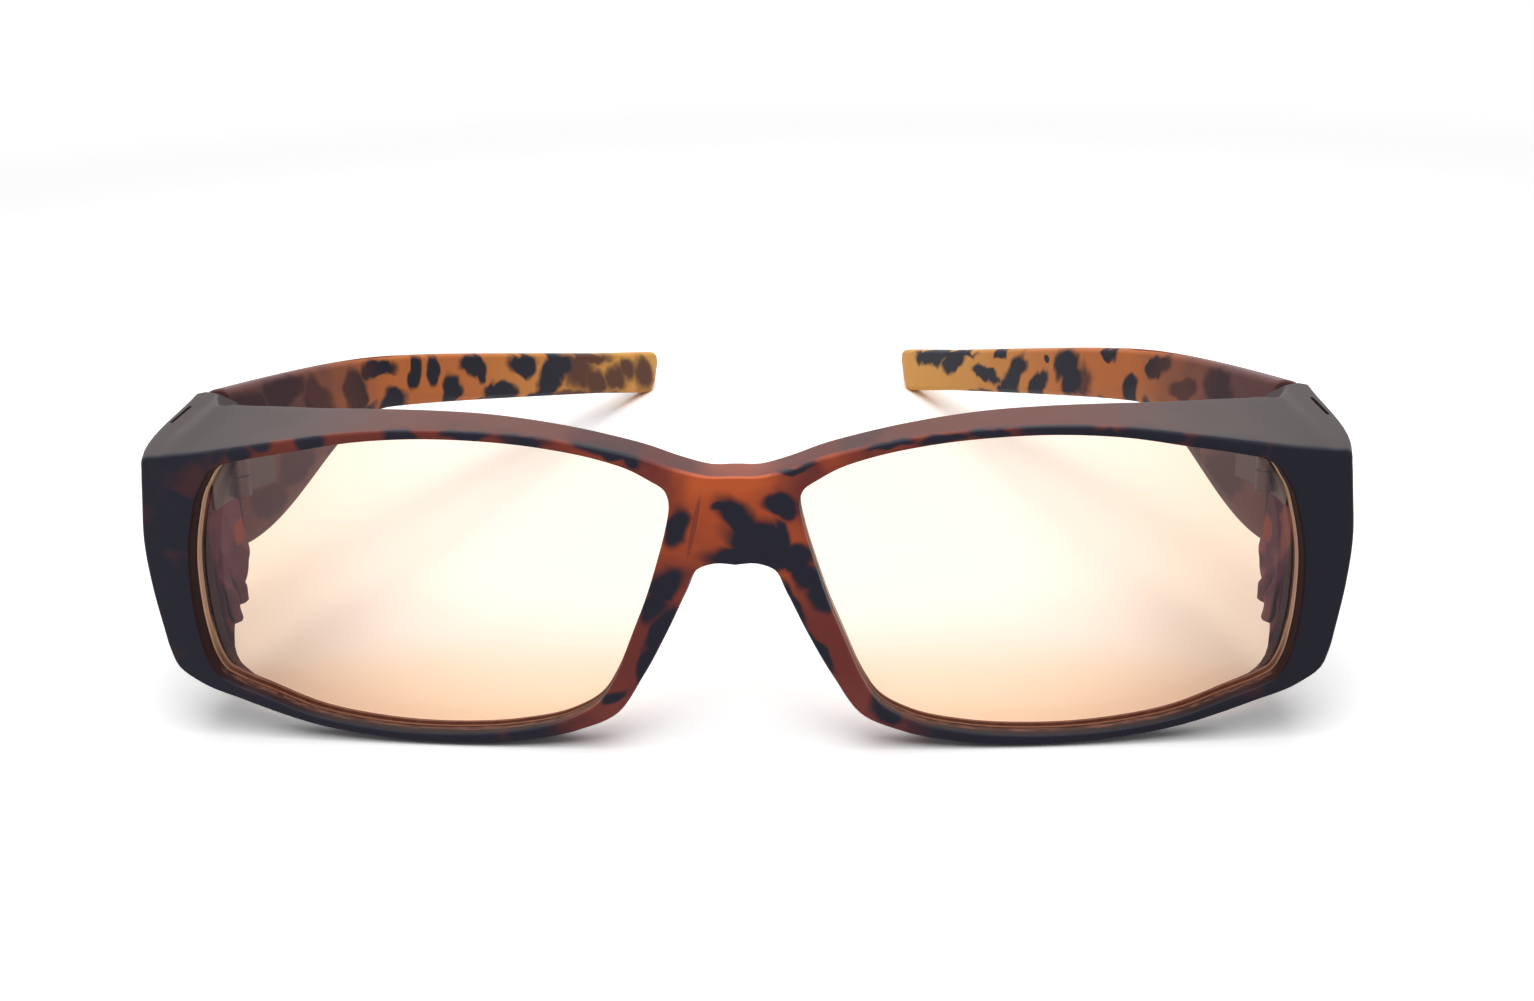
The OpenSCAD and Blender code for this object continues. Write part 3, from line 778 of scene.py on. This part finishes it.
def spots(tree, place, rows, along, depth):
    """Ellipses as [u, v, radius, other radius, turn], drawn along an axis to a depth each way."""
    heights = []
    for u, v, long, wide, turn in rows:
        angle = math.radians(turn)
        if along == "Y":
            where, rotation, size = (u, 0.0, v), (0.0, -angle, 0.0), (long, depth, wide)
        else:
            where, rotation, size = (0.0, u, v), (angle, 0.0, 0.0), (depth, long, wide)
        inputs = {
            "Vector": place,
            "Location": where,
            "Rotation": rotation,
            "Scale": [r / OUTLINE_SHARE for r in size],
        }
        local = put(tree, "Mapping", inputs, vector_type="TEXTURE").outputs[0]
        ball = put(tree, "TexGradient", {"Vector": local}, gradient_type="SPHERICAL")
        heights.append(ball.outputs["Fac"])
    return largest(tree, *heights)


NAVY = (0.0090, 0.0085, 0.0230)
AMBER = (0.56, 0.094, 0.024)
GLOW = (0.74, 0.135, 0.032)
BROWN = (0.20, 0.036, 0.022)
MAROON = (0.185, 0.030, 0.025)
RUST = (0.26, 0.060, 0.045)
SMUDGE = (0.070, 0.018, 0.020)
NIGHT = (0.0045, 0.0042, 0.0150)
# A painted purple reflection of the lens coating over the returns' inner walls, in three tones
WALL_REFLECTION = (0.230, 0.080, 0.135)
WALL_REFLECTION_DARK = (0.110, 0.034, 0.070)
WALL_REFLECTION_LEFT = (0.400, 0.165, 0.170)
# Painted light shining through the plastic at each return's notch
LIT_PATCH = (0.40, 0.095, 0.062)
# Painted shade in the gap between a lens's edge and a return's inner wall
GAP_SHADE = (0.010, 0.003, 0.006)
LIP = (0.022, 0.006, 0.007)
# Painted light on the upward-facing ledge under each lens, with painted glints
LEDGE_LIT = (0.060, 0.022, 0.018)
LEDGE_GLINT = (0.20, 0.085, 0.060)
SHELF = (0.140, 0.034, 0.020)
# A grey painted sheen on the brow's top toward its corners
SHELF_SHEEN = (0.066, 0.048, 0.048)
SHELF_MIDDLE = (0.105, 0.011, 0.007)
SHELF_DARK = (0.040, 0.010, 0.014)

# A spot's outline, as a share of the way from its middle, where it is 1, to where it is 0
OUTLINE_SHARE = 0.7
# How deep the spots reach in mm
FACE_SPOT_DEPTH, BROW_SPOT_DEPTH, SHELF_SPOT_DEPTH, RIDGE_DEPTH = 6.0, 1.8, 40.0, 3.0
THROUGH = 1000.0
# Where each tone of the front starts and where it is full, in mm: AWAY is a distance from the
# middle plane, DEPTH a distance behind the curved face, and X and Z are places over the table
MIDDLE_AWAY = (26.0, 10.0)
GLOW_Z, GLOW_AWAY = (31.5, 34.5), (16.0, 4.0)
MAROON_Z = (27.0, 17.0)
RUST_Z, RUST_AWAY = (12.0, 6.0), (24.0, 15.0)
CORNER_AWAY = (58.0, 65.0)
RIM_Z, RIM_AWAY = (11.0, 5.0), (16.0, 24.0)
REAR_Z, REAR_DEPTH = (37.0, 33.0), (6.0, 12.0)
SMUDGE_AWAY = (22.0, 30.0)
NIGHT_X = (20.0, 60.0)
SHELF_Z, SHELF_DEPTH = (33.0, 36.0), (0.25, 1.1)
SHELF_SHEEN_AWAY, SHELF_PATCH_AWAY = (36.0, 58.0), (40.0, 26.0)
INNER_AWAY, INNER_Z, INNER_DEPTH = (40.0, 55.0), (36.4, 35.2), (3.4, 3.8)
LEFT_X = (-10.0, 10.0)
# Where the painted shade of the gap by the lens lies
GAP_SHADE_Z, GAP_SHADE_DEPTH, GAP_SHADE_FRONT_DEPTH = (27.5, 24.0), (9.6, 8.2), (6.4, 5.8)
LIP_DEPTH = (2.6, 2.2)
LEDGE_Z, LEDGE_DEPTH = (10.0, 7.0), (1.0, 1.5)
# Where each noise or spot starts to colour and where it does so fully
SPOT_EDGE, SHELF_SPOT_EDGE = (0.04, 0.50), (0.0, 0.5)
RIDGE_EDGE, LIT_PATCH_EDGE = (0.05, 0.45), (0.05, 0.45)
PATCHES, CLOUDS, SMUDGES = (0.50, 0.60), (0.42, 0.72), (0.56, 0.72)
SHELF_PATCHES, REFLECTION_MOTTLE, GLINT_STREAKS = (0.52, 0.66), (0.40, 0.60), (0.42, 0.62)
# Parts of the surface's normal from which a wall faces inwards or a ledge upwards
FACES_IN, FACES_UP = (-0.15, -0.5), (0.4, 0.75)

# Dark spots of the front's face as [x, z, radius, other radius, turn in degrees]
FRONT_SPOTS = [
    [2, 25.4, 6, 1.6, 0], [2.6, 27.6, 3.8, 2.4, -10], [0.6, 30, 3.4, 1.6, -50],
    [-1, 31.5, 1.3, 0.8, 0], [5.6, 32, 2.5, 1.1, 6], [6.6, 31, 1.4, 1.3, 0],
    [5.6, 28, 2.4, 1.1, -66], [7.6, 25, 1.6, 2, 20], [-6.8, 29.4, 2.9, 1.3, 84],
    [-8.8, 21.6, 2.6, 1.8, 40], [-10, 19.4, 2.4, 1.5, 60], [8.9, 22.6, 2.9, 1.7, -60],
    [9.9, 20, 2.2, 1.1, -60], [7.4, 18.6, 4.2, 0.7, -64], [9.6, 14.2, 4.2, 0.8, -58],
    [-9.4, 16, 3.8, 1.1, 62], [-11.2, 12, 3.2, 0.7, 58], [18.6, 5.2, 3, 1.5, -35],
    [-15.5, 7.2, 1.6, 0.7, 40], [6.4, 25.6, 3.6, 1.5, 0],
]
# Low ridges beside the bridge's pad, not modelled but drawn as thin darker lines of painted shade
RIDGE_LINES = [[-4.9, 29.2, 3.5, 0.30, 77], [5.4, 27.4, 2.6, 0.30, -70]]
# Dark spots of the brow's narrow face, which end at its crease
BROW_SPOTS = [
    [-15.4, 38.4, 4.8, 0.9, -14], [-12.4, 37.2, 1.6, 0.8, -30], [7.8, 36.1, 2.4, 0.5, 14],
    [-51.8, 39.4, 2.2, 1.6, 0], [-40.4, 40.3, 1.7, 1.4, 0], [-32.5, 40.4, 3, 0.8, 0],
    [-25.4, 39.9, 3.6, 1, -8], [30.5, 40.2, 3.4, 0.7, 0], [38.3, 40.6, 5.4, 1.3, 0],
    [49.9, 39.8, 4.8, 1.4, -5], [58.6, 38.4, 6.4, 2.2, -8], [24.4, 39.6, 3.2, 0.6, 8],
    [-60.8, 37.4, 2.2, 0.9, 10], [18.6, 38.8, 2.6, 0.5, 14], [-58, 38.6, 1.6, 0.8, 0],
    [44, 40.3, 2.6, 0.9, 0],
]
# Dark spots of the brow's top
SHELF_SPOTS = [[-15.5, 38.6, 4.6, 1.8, -14], [15.0, 39.6, 3.0, 1.2, 14]]
# The painted patch of light through the plastic at each return's notch as [y, z, radius, other
# radius, turn]
LIT_PATCH_SPOTS = [[-53.8, 20.4, 2.0, 1.1, 30]]


def finish_plastic(tree, surface, place, colour, grain, gloss, matt=0.0):
    """The colour under a matt lacquer, with fine grain, soft wear and an extra roughness."""
    wear = times(tree, noise(tree, place, 0.12, 3.0), 0.12)
    fine = noise(tree, place, 1.6, 1.0)
    bump = put(tree, "Bump", {"Height": fine, "Strength": 0.02, "Distance": 0.00002})
    feed(tree, surface, {
        "Base Color": colour,
        "Roughness": calc(tree, "ADD", calc(tree, "ADD", grain, wear), matt),
        "Normal": bump.outputs[0],
        "Specular IOR Level": gloss,
        "Sheen Weight": 0.03,
        "Sheen Roughness": 0.3,
    })


def face_light(tree, place, flat, z, away, middle):
    """The face between its spots: amber, brightest over the bridge, browner and redder beyond."""
    glow = times(tree, rise(tree, z, *GLOW_Z), rise(tree, away, *GLOW_AWAY))
    colour = blend(tree, middle, BROWN, blend(tree, glow, AMBER, GLOW))
    colour = blend(tree, rise(tree, z, *MAROON_Z), colour, MAROON, most=0.95)
    low_glow = times(tree, rise(tree, z, *RUST_Z), rise(tree, away, *RUST_AWAY))
    colour = blend(tree, low_glow, colour, RUST, most=0.6)
    clouds = noise(tree, shaken(tree, place, 0.1, 3.0), 0.09, 3.0)
    colour = blend(tree, rise(tree, clouds, *CLOUDS), colour, MAROON)
    # Painted shade along the unmodelled ridges beside the bridge's pad
    ridges = rise(tree, spots(tree, flat, RIDGE_LINES, "Y", RIDGE_DEPTH), *RIDGE_EDGE)
    return blend(tree, ridges, colour, MAROON, most=0.6)


def face_dark_share(tree, place, moved, z, depth, roam):
    """Where the front is dark: its spots, corners and lower rims, and patches behind the face."""
    face = spots(tree, moved, FRONT_SPOTS, "Y", FACE_SPOT_DEPTH)
    brow = spots(tree, moved, BROW_SPOTS, "Y", BROW_SPOT_DEPTH)
    spotted = rise(tree, largest(tree, face, brow), *SPOT_EDGE)
    corner = rise(tree, roam, *CORNER_AWAY)
    rim = times(tree, rise(tree, z, *RIM_Z), rise(tree, roam, *RIM_AWAY))
    patches = rise(tree, noise(tree, shaken(tree, place, 0.3, 1.2), 0.1, 1.0), *PATCHES)
    rear = times(tree, patches, rise(tree, depth, *REAR_DEPTH))
    rear = times(tree, rear, rise(tree, z, *REAR_Z))
    return largest(tree, spotted, rear, corner, rim)


def face_dark(tree, place, x, away):
    """Navy, with brown smudges away from the bridge, and blacker on the wearer's left."""
    smudge = rise(tree, noise(tree, shaken(tree, place, 0.4, 1.0), 0.13), *SMUDGES)
    smudge = times(tree, smudge, rise(tree, away, *SMUDGE_AWAY))
    smudged = blend(tree, smudge, NAVY, SMUDGE, most=0.8)
    return blend(tree, rise(tree, x, *NIGHT_X), smudged, NIGHT)


def brow_top(tree, place, moved, away, middle):
    """The brow's top: brown, redder in the middle, with a grey painted sheen toward the corners and
    dark patches.
    """
    top = blend(tree, rise(tree, away, *SHELF_SHEEN_AWAY), SHELF, SHELF_SHEEN)
    top = blend(tree, middle, top, SHELF_MIDDLE)
    marks = spots(tree, moved, SHELF_SPOTS, "Y", SHELF_SPOT_DEPTH)
    top = blend(tree, rise(tree, marks, *SHELF_SPOT_EDGE), top, SHELF_DARK, most=0.8)
    patch = rise(tree, noise(tree, shaken(tree, place, 0.1, 3.0), 0.06, 1.0), *SHELF_PATCHES)
    patch = times(tree, patch, rise(tree, away, *SHELF_PATCH_AWAY))
    return blend(tree, patch, top, SHELF_DARK)


def inner_wall_reflection(tree, place, x, z, depth):
    """The returns' inner walls: a painted purple reflection, paler on the left, with a painted
    patch of light and painted shade in the gap.
    """
    wall_reflection = blend(tree, rise(tree, x, *LEFT_X), WALL_REFLECTION, WALL_REFLECTION_LEFT)
    reflection_mottle = noise(tree, shaken(tree, place, 0.2, 2.0), 0.14)
    wall_reflection = blend(tree, rise(tree, reflection_mottle, *REFLECTION_MOTTLE), wall_reflection, WALL_REFLECTION_DARK)
    lit = spots(tree, shaken(tree, place, 0.5, 0.6), LIT_PATCH_SPOTS, "X", THROUGH)
    wall_reflection = blend(tree, rise(tree, lit, *LIT_PATCH_EDGE), wall_reflection, LIT_PATCH)
    gap_shade = times(tree, rise(tree, depth, *GAP_SHADE_DEPTH), rise(tree, z, *GAP_SHADE_Z))
    gap_shade = largest(tree, gap_shade, rise(tree, depth, *GAP_SHADE_FRONT_DEPTH))
    return blend(tree, gap_shade, wall_reflection, GAP_SHADE)


def ledge_glints(tree, place):
    """The rim's ledge under the lens, facing up: brown painted light, with painted glints in
    streaks along it.
    """
    drawn = put(tree, "Mapping", {"Vector": place, "Scale": (0.3, 2.0, 2.0)}).outputs[0]
    glints = rise(tree, noise(tree, drawn, 1.0, 3.0), *GLINT_STREAKS)
    return blend(tree, glints, LEDGE_LIT, LEDGE_GLINT)


def front_plastic():
    """The front's mottled plastic, from its face back to the inside of its returns."""
    material, tree, surface = new_material("tortoise_front")
    place = place_mm(tree)
    x, _, z = split(tree, place)
    away = calc(tree, "ABSOLUTE", x)
    depth = behind_face(tree, place)
    flat = put(tree, "CombineXYZ", {0: x, 1: depth, 2: z}).outputs[0]
    moved = shaken(tree, shaken(tree, flat, 0.16, 1.5), 0.36, 0.8)
    roam = calc(tree, "ADD", away, wander(tree, place, 0.15, 14.0))
    middle = rise(tree, roam, *MIDDLE_AWAY)
    normal_x, _, normal_z = split(tree, put(tree, "TexCoord").outputs["Normal"])
    facing_in = rise(tree, times(tree, normal_x, calc(tree, "SIGN", x)), *FACES_IN)
    inner = times(tree, facing_in, rise(tree, away, *INNER_AWAY))

    colour = face_light(tree, place, flat, z, away, middle)
    dark = face_dark_share(tree, place, moved, z, depth, roam)
    colour = blend(tree, dark, colour, face_dark(tree, place, x, away))
    shelf = times(tree, rise(tree, depth, *SHELF_DEPTH), rise(tree, z, *SHELF_Z))
    top = brow_top(tree, place, moved, away, middle)
    colour = blend(tree, shelf, colour, top, most=0.92)
    # The returns' inner walls get a painted reflection, a painted patch of light and painted shade
    wall = times(tree, inner, rise(tree, z, *INNER_Z))
    wall = times(tree, wall, rise(tree, depth, *INNER_DEPTH))
    colour = blend(tree, wall, colour, inner_wall_reflection(tree, place, x, z, depth))
    colour = blend(tree, times(tree, inner, rise(tree, depth, *LIP_DEPTH)), colour, LIP)
    # The upward-facing ledge in front of each lens's bottom gets painted light
    lit_ledge = times(tree, rise(tree, normal_z, *FACES_UP), rise(tree, z, *LEDGE_Z))
    lit_ledge = times(tree, lit_ledge, rise(tree, depth, *LEDGE_DEPTH))
    colour = blend(tree, lit_ledge, colour, ledge_glints(tree, place), most=0.9)
    finish_plastic(tree, surface, place, colour, 0.36, 0.26, times(tree, inner, 0.45))
    return material


HONEY = (1.0, 0.48, 0.095)
ORANGE = (0.72, 0.205, 0.050)
# Grey-purple painted shade with a painted reflected haze on a temple near its joint
JOINT_SHADE_HAZE = (0.080, 0.056, 0.078)
CLOUD = (0.10, 0.026, 0.018)
# Where each tone of a temple starts and where it is full, in mm from the joint
HONEY_ALONG, JOINT_SHADE_ALONG, FAINT_ALONG = (45.0, 122.0), (42.0, 12.0), (36.0, 20.0)
# Where its spots and clouds start to colour and where they do so fully
TEMPLE_EDGE, CLOUD_EDGE = (0.0, 0.36), (0.0, 0.6)

# Each temple's dark spots and its paler clouds, as [mm along Y from the joint,
# mm under the upper edge, radius, other radius, turn]
RIGHT_SPOTS = [
    [33.5, 1.3, 4.2, 1.5, 4], [27.4, 4.4, 2.2, 3.2, 0], [42.8, 2.5, 2.7, 1.2, 66],
    [47.9, 2.3, 2.5, 1.4, 72], [36.7, 7.8, 3.6, 2, 25], [52.5, 6.2, 3.2, 2.3, 80],
    [59.3, 1.5, 3.2, 1.9, 0], [60.6, 2.8, 1.4, 1.2, 0], [66.7, 6.7, 5.2, 1.9, -8],
    [74.6, 1.4, 3.8, 1.9, 0], [83, 4.5, 6.8, 2.7, 42], [87, 1.6, 3.6, 1.8, 0],
    [79, 8.2, 3, 1.4, 0], [59.6, 8.4, 1.8, 1, 30], [55.8, 8.8, 1.4, 0.9, 0],
    [19, 5, 2.6, 4, 20], [12, 1.4, 4, 1.8, 0], [4, 4, 4, 2.6, 0],
    [29, 8.6, 3, 1.6, 20], [12, 12.5, 4.5, 2.4, 30], [23, 13, 3.4, 2, -20],
    [5, 17, 3.6, 2.4, 0],
]
RIGHT_CLOUDS = [
    [93, 3, 6, 4.4, 0], [99, 5.6, 4.6, 3.2, 0], [106.5, 4.6, 4.8, 2.8, 0],
    [118, 4.4, 4.4, 3.8, 0], [96, 8.8, 16, 1.6, 0], [112, 3, 3.4, 2, 0],
    [97, 0.4, 9, 1.4, 0],
]
LEFT_SPOTS = [
    [110.4, 1.2, 6, 1.7, 0], [99.9, 1.8, 3.9, 2, -10], [104.5, 0.2, 12, 0.8, 0],
    [81.2, 0.6, 2.3, 1, 0], [85.6, 4.6, 5.6, 1.2, 14], [75.7, 4.9, 4.9, 2.4, -57],
    [73.8, 2.6, 2.6, 1.7, 0], [77.6, 8, 3, 1.4, 0], [66.9, 6.3, 4.2, 1.8, -36],
    [57, 2.4, 3.4, 2.6, 30], [55.2, 4.6, 2.6, 2.6, 40], [43.9, 0.6, 2.2, 0.9, 0],
    [37.6, 6.4, 2, 2.4, 0], [29.8, 1.8, 3.2, 1.4, -22], [22.5, 4, 2.8, 1.5, 0],
    [13.5, 2.4, 3.2, 2.3, 0], [30, 9.6, 3, 1.6, 20], [20, 12, 4, 2, 30],
    [10, 15, 5, 3, -20], [4, 8, 2.8, 3.4, 0], [64, 1, 1, 0.5, 0],
]
LEFT_CLOUDS = [[52, 5.4, 3.4, 3.2, 0], [44.5, 8.8, 3, 0.9, 0], [90, 8.8, 8, 0.8, 0]]
TEMPLE_SPOTS = {1: (LEFT_SPOTS, LEFT_CLOUDS), -1: (RIGHT_SPOTS, RIGHT_CLOUDS)}


def temple_plastic(side):
    """A temple's plastic: honey at the tip, orange, and a grey-purple painted shade and reflected
    haze toward the joint, with dark spots.
    """
    material, tree, surface = new_material("tortoise_temple_" + SIDES[side])
    place = place_mm(tree)
    _, y, z = split(tree, place)
    along = calc(tree, "SUBTRACT", y, joint_place[1] / MM)
    past = calc(tree, "SUBTRACT", along, BEND_AT * math.cos(FOLD + SPLAY))
    soft = calc(tree, "SQRT", calc(tree, "ADD", times(tree, past, past), BEND_SOFT * BEND_SOFT))
    fall = times(tree, calc(tree, "ADD", soft, past), TEMPLE_FALL / 2)
    upper = calc(tree, "SUBTRACT", TEMPLE_UPPER, times(tree, along, math.tan(LEAN)))
    under = calc(tree, "SUBTRACT", calc(tree, "SUBTRACT", upper, fall), z)
    level = {0: 0.0, 1: along, 2: times(tree, under, -1.0)}
    flat = put(tree, "CombineXYZ", level).outputs[0]
    moved = shaken(tree, shaken(tree, flat, 0.14, 1.6), 0.36, 1.3)
    tables = TEMPLE_SPOTS[side]
    dark_rows, cloud_rows = ([[t, -d, *rest] for t, d, *rest in rows] for rows in tables)
    dark = rise(tree, spots(tree, moved, dark_rows, "X", THROUGH), *TEMPLE_EDGE)
    faint = times(tree, rise(tree, along, *FAINT_ALONG), 0.35)
    dark = times(tree, dark, calc(tree, "SUBTRACT", 1.0, faint))
    cloud = rise(tree, spots(tree, moved, cloud_rows, "X", THROUGH), *CLOUD_EDGE)
    roam = calc(tree, "ADD", along, wander(tree, flat, 0.1, 24.0))
    colour = blend(tree, rise(tree, roam, *HONEY_ALONG), ORANGE, HONEY)
    colour = blend(tree, rise(tree, roam, *JOINT_SHADE_ALONG), colour, JOINT_SHADE_HAZE, most=0.85)
    colour = blend(tree, cloud, colour, CLOUD, most=0.95)
    colour = blend(tree, dark, colour, NAVY)
    finish_plastic(tree, surface, place, colour, 0.30, 0.12)
    return material


GLASS = (0.994, 0.930, 0.865)
# Deeper tints toward the lens's bottom and outer side, a painted shadow of the frame on the table
# behind
GLASS_SHADOWED, GLASS_SHADOWED_OUTER = (0.988, 0.860, 0.725), (0.935, 0.795, 0.675)
GLASS_GLOSS = (0.95, 0.80, 0.92, 1.0)
GLASS_SHADOW_AWAY, GLASS_SHADOW_Z = (30.0, 68.0), (17.0, 5.0)
# The lens's edge is given painted light: a pale painted highlight above, less lit and browner
# below, and painted shade behind its front step
EDGE_LOW, EDGE_LOW_PALE = (0.16, 0.060, 0.045), (0.42, 0.22, 0.16)
EDGE_HIGHLIGHT, EDGE_HIGHLIGHT_PALE = (0.85, 0.68, 0.58), (0.98, 0.86, 0.78)
EDGE_BACK_SHADE = (0.020, 0.006, 0.008)
EDGE_HIGHLIGHT_Z, EDGE_SHADE_Z = (5.0, 16.0), (10.0, 15.0)
EDGE_SHADE_DEPTH = (LENS_RECESS + 1.48, LENS_RECESS + 1.56)
STEEL_DARK, STEEL = (0.080, 0.072, 0.080), (0.140, 0.128, 0.134)


def tinted_glass():
    """Amber lens, clear to what is behind it, tinted deeper toward its bottom and outer side as
    painted shadow, with a faint gloss that grows at grazing angles.
    """
    material, tree, surface = new_material("amber_lens")
    place = place_mm(tree)
    x, _, z = split(tree, place)
    outer_part = rise(tree, calc(tree, "ABSOLUTE", x), *GLASS_SHADOW_AWAY)
    floor_shadow = largest(tree, times(tree, outer_part, 0.75), rise(tree, z, *GLASS_SHADOW_Z))
    tint = blend(tree, floor_shadow, GLASS, blend(tree, outer_part, GLASS_SHADOWED, GLASS_SHADOWED_OUTER))
    clear = put(tree, "BsdfTransparent", {"Color": tint})
    smear = calc(tree, "ADD", 0.02, times(tree, noise(tree, place, 0.2, 3.0), 0.05))
    gloss = put(tree, "BsdfGlossy", {"Color": GLASS_GLOSS, "Roughness": smear})
    facing = put(tree, "LayerWeight", {"Blend": 0.5}).outputs["Facing"]
    share = calc(tree, "ADD", 0.045, times(tree, calc(tree, "POWER", facing, 5.0), 0.7))
    show(tree, put(tree, "MixShader", {0: share, 1: clear.outputs[0], 2: gloss.outputs[0]}))
    tree.nodes.remove(surface)
    return material


def lens_edge():
    """The lens's ground edge: a pale painted highlight along its front step, painted shade behind,
    less lit and browner along the bottom.
    """
    material, tree, surface = new_material("lens_edge")
    place = place_mm(tree)
    z = split(tree, place)[2]
    mark = noise(tree, place, 0.8, 3.0)
    low = blend(tree, mark, EDGE_LOW, EDGE_LOW_PALE)
    high = blend(tree, mark, EDGE_HIGHLIGHT, EDGE_HIGHLIGHT_PALE)
    lit_edge = blend(tree, rise(tree, z, *EDGE_HIGHLIGHT_Z), low, high)
    back_shade = rise(tree, behind_face(tree, place), *EDGE_SHADE_DEPTH)
    back_shade = times(tree, back_shade, rise(tree, z, *EDGE_SHADE_Z))
    feed(tree, surface, {
        "Base Color": blend(tree, back_shade, lit_edge, EDGE_BACK_SHADE),
        "Roughness": calc(tree, "ADD", 0.3, times(tree, mark, 0.25)),
        "Specular IOR Level": 0.25,
    })
    return material


def brushed_steel():
    """Dark steel with fine upright brush lines."""
    material, tree, surface = new_material("hinge_steel")
    place = place_mm(tree)
    stretched = put(tree, "Mapping", {"Vector": place, "Scale": (6.0, 6.0, 0.6)}).outputs[0]
    lines = noise(tree, stretched, 2.0, 4.0)
    bump = put(tree, "Bump", {"Height": lines, "Strength": 0.15, "Distance": 0.00002})
    feed(tree, surface, {
        "Base Color": blend(tree, lines, STEEL_DARK, STEEL),
        "Roughness": calc(tree, "ADD", 0.30, times(tree, lines, 0.25)),
        "Normal": bump.outputs[0],
        "Metallic": 1.0,
    })
    return material


tortoise = front_plastic()
front.data.materials.append(tortoise)
glass, edge_finish, steel = tinted_glass(), lens_edge(), brushed_steel()
for side in SIDES:
    temples[side].data.materials.append(temple_plastic(side))
    lenses[side].data.materials.append(glass)
    lenses[side].data.materials.append(edge_finish)
    return_ribs[side].data.materials.append(tortoise)
for name, node in frame["nodes"].items():
    if name.startswith("hinge"):
        node.data.materials.clear()
        node.data.materials.append(steel)

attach(front, "front")
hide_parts("front_frame")
for side, word in SIDES.items():
    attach(temples[side], "temple_" + word)
    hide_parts("temple_" + word)
    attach(lenses[side], "front")
    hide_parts("lens_" + word)
    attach(return_ribs[side], "front")

# Floor, light and camera
FLOOR_REACH = 8.0
PAPER, PAPER_IN_GLOSS, PAPER_SEEN = (0.8, 0.8, 0.8), (0.92, 0.92, 0.92), (1.5, 1.5, 1.5)
WHITE = (1.0, 1.0, 1.0, 1.0)
# Distances in m from the object over which the floor that is seen turns plain white
FADE_START, FADE_END = 0.25, 0.6
WORLD_LIGHT = 0.2


def seen(tree):
    """1 for rays from the camera, from gloss and through glass, else 0."""
    path = put(tree, "LightPath").outputs
    return largest(tree, path["Is Camera Ray"], path["Is Glossy Ray"], path["Is Transmission Ray"])


def floor_paper():
    """Matt pale paper, shown white but for the object's shadow, and plain white far away."""
    material, tree, surface = new_material("floor_paper")
    glossy = put(tree, "LightPath").outputs["Is Glossy Ray"]
    shown = blend(tree, glossy, blend(tree, seen(tree), PAPER, PAPER_SEEN), PAPER_IN_GLOSS)
    feed(tree, surface, {"Base Color": shown, "Roughness": 1.0, "Specular IOR Level": 0.0})
    spot = put(tree, "NewGeometry").outputs["Position"]
    distance = put(tree, "VectorMath", {0: spot}, operation="LENGTH").outputs["Value"]
    far = times(tree, rise(tree, distance, FADE_START, FADE_END), seen(tree))
    white = put(tree, "Emission", {"Color": WHITE, "Strength": 1.0})
    show(tree, put(tree, "MixShader", {0: far, 1: surface.outputs[0], 2: white.outputs[0]}))
    return material


r = FLOOR_REACH
floor_corners = [(-r, -r, 0), (r, -r, 0), (r, r, 0), (-r, r, 0)]
floor = add_object("floor", make_mesh("floor", floor_corners, [(0, 1, 2, 3)]))
floor.data.materials.append(floor_paper())

world = bpy.data.worlds.new("studio")
bpy.context.scene.world = world
world.use_nodes = True
tree = world.node_tree
strength = calc(tree, "ADD", WORLD_LIGHT, times(tree, seen(tree), 1.0 - WORLD_LIGHT))
feed(tree, tree.nodes["Background"], {"Color": WHITE, "Strength": strength})

# Soft lamps over the object as [name, place in m, size in m, power in W], and what they point at
LAMPS = (
    ("lamp_front", (0.0, -0.24, 0.64), 0.60, 2.5),
    ("lamp_back", (0.0, 0.22, 0.60), 0.70, 1.7),
)
LAMP_AIM = Vector((0.0, -0.05, 0.0))
for name, place, size, power in LAMPS:
    lamp = bpy.data.lights.new(name, "AREA")
    lamp.size = size
    lamp.energy = power
    lamp_obj = bpy.data.objects.new(name, lamp)
    lamp_obj.location = place
    way = LAMP_AIM - lamp_obj.location
    lamp_obj.rotation_euler = way.to_track_quat("-Z", "Y").to_euler()
    bpy.context.scene.collection.objects.link(lamp_obj)

# Camera: its place in mm, its turns, and its focal length in pixels of a frame this wide
CAMERA_PLACE = (12.0, SET_BACK - 156.611, LIFT + 97.954)
CAMERA_PITCH, CAMERA_YAW, CAMERA_ROLL = (math.radians(a) for a in (22.3, -2.85, -1.35))
FOCAL_PIXELS, FRAME_PIXELS, SENSOR = 1450, 1534, 36.0
forward = Vector((
    math.sin(CAMERA_YAW) * math.cos(CAMERA_PITCH),
    math.cos(CAMERA_YAW) * math.cos(CAMERA_PITCH),
    -math.sin(CAMERA_PITCH),
))
level = Vector((math.cos(CAMERA_YAW), -math.sin(CAMERA_YAW), 0.0))
upright = level.cross(forward)
right = level * math.cos(CAMERA_ROLL) + upright * math.sin(CAMERA_ROLL)
up = upright * math.cos(CAMERA_ROLL) - level * math.sin(CAMERA_ROLL)
camera_data = bpy.data.cameras.new("camera")
camera_data.sensor_width = SENSOR
camera_data.lens = FOCAL_PIXELS / FRAME_PIXELS * SENSOR
camera_data.clip_start = 0.01
camera = bpy.data.objects.new("camera", camera_data)
aimed = Matrix((right, up, -forward)).transposed().to_4x4()
camera.matrix_world = Matrix.Translation(Vector(CAMERA_PLACE) * MM) @ aimed
bpy.context.scene.collection.objects.link(camera)
bpy.context.scene.camera = camera
bpy.context.scene.view_settings.view_transform = "Standard"
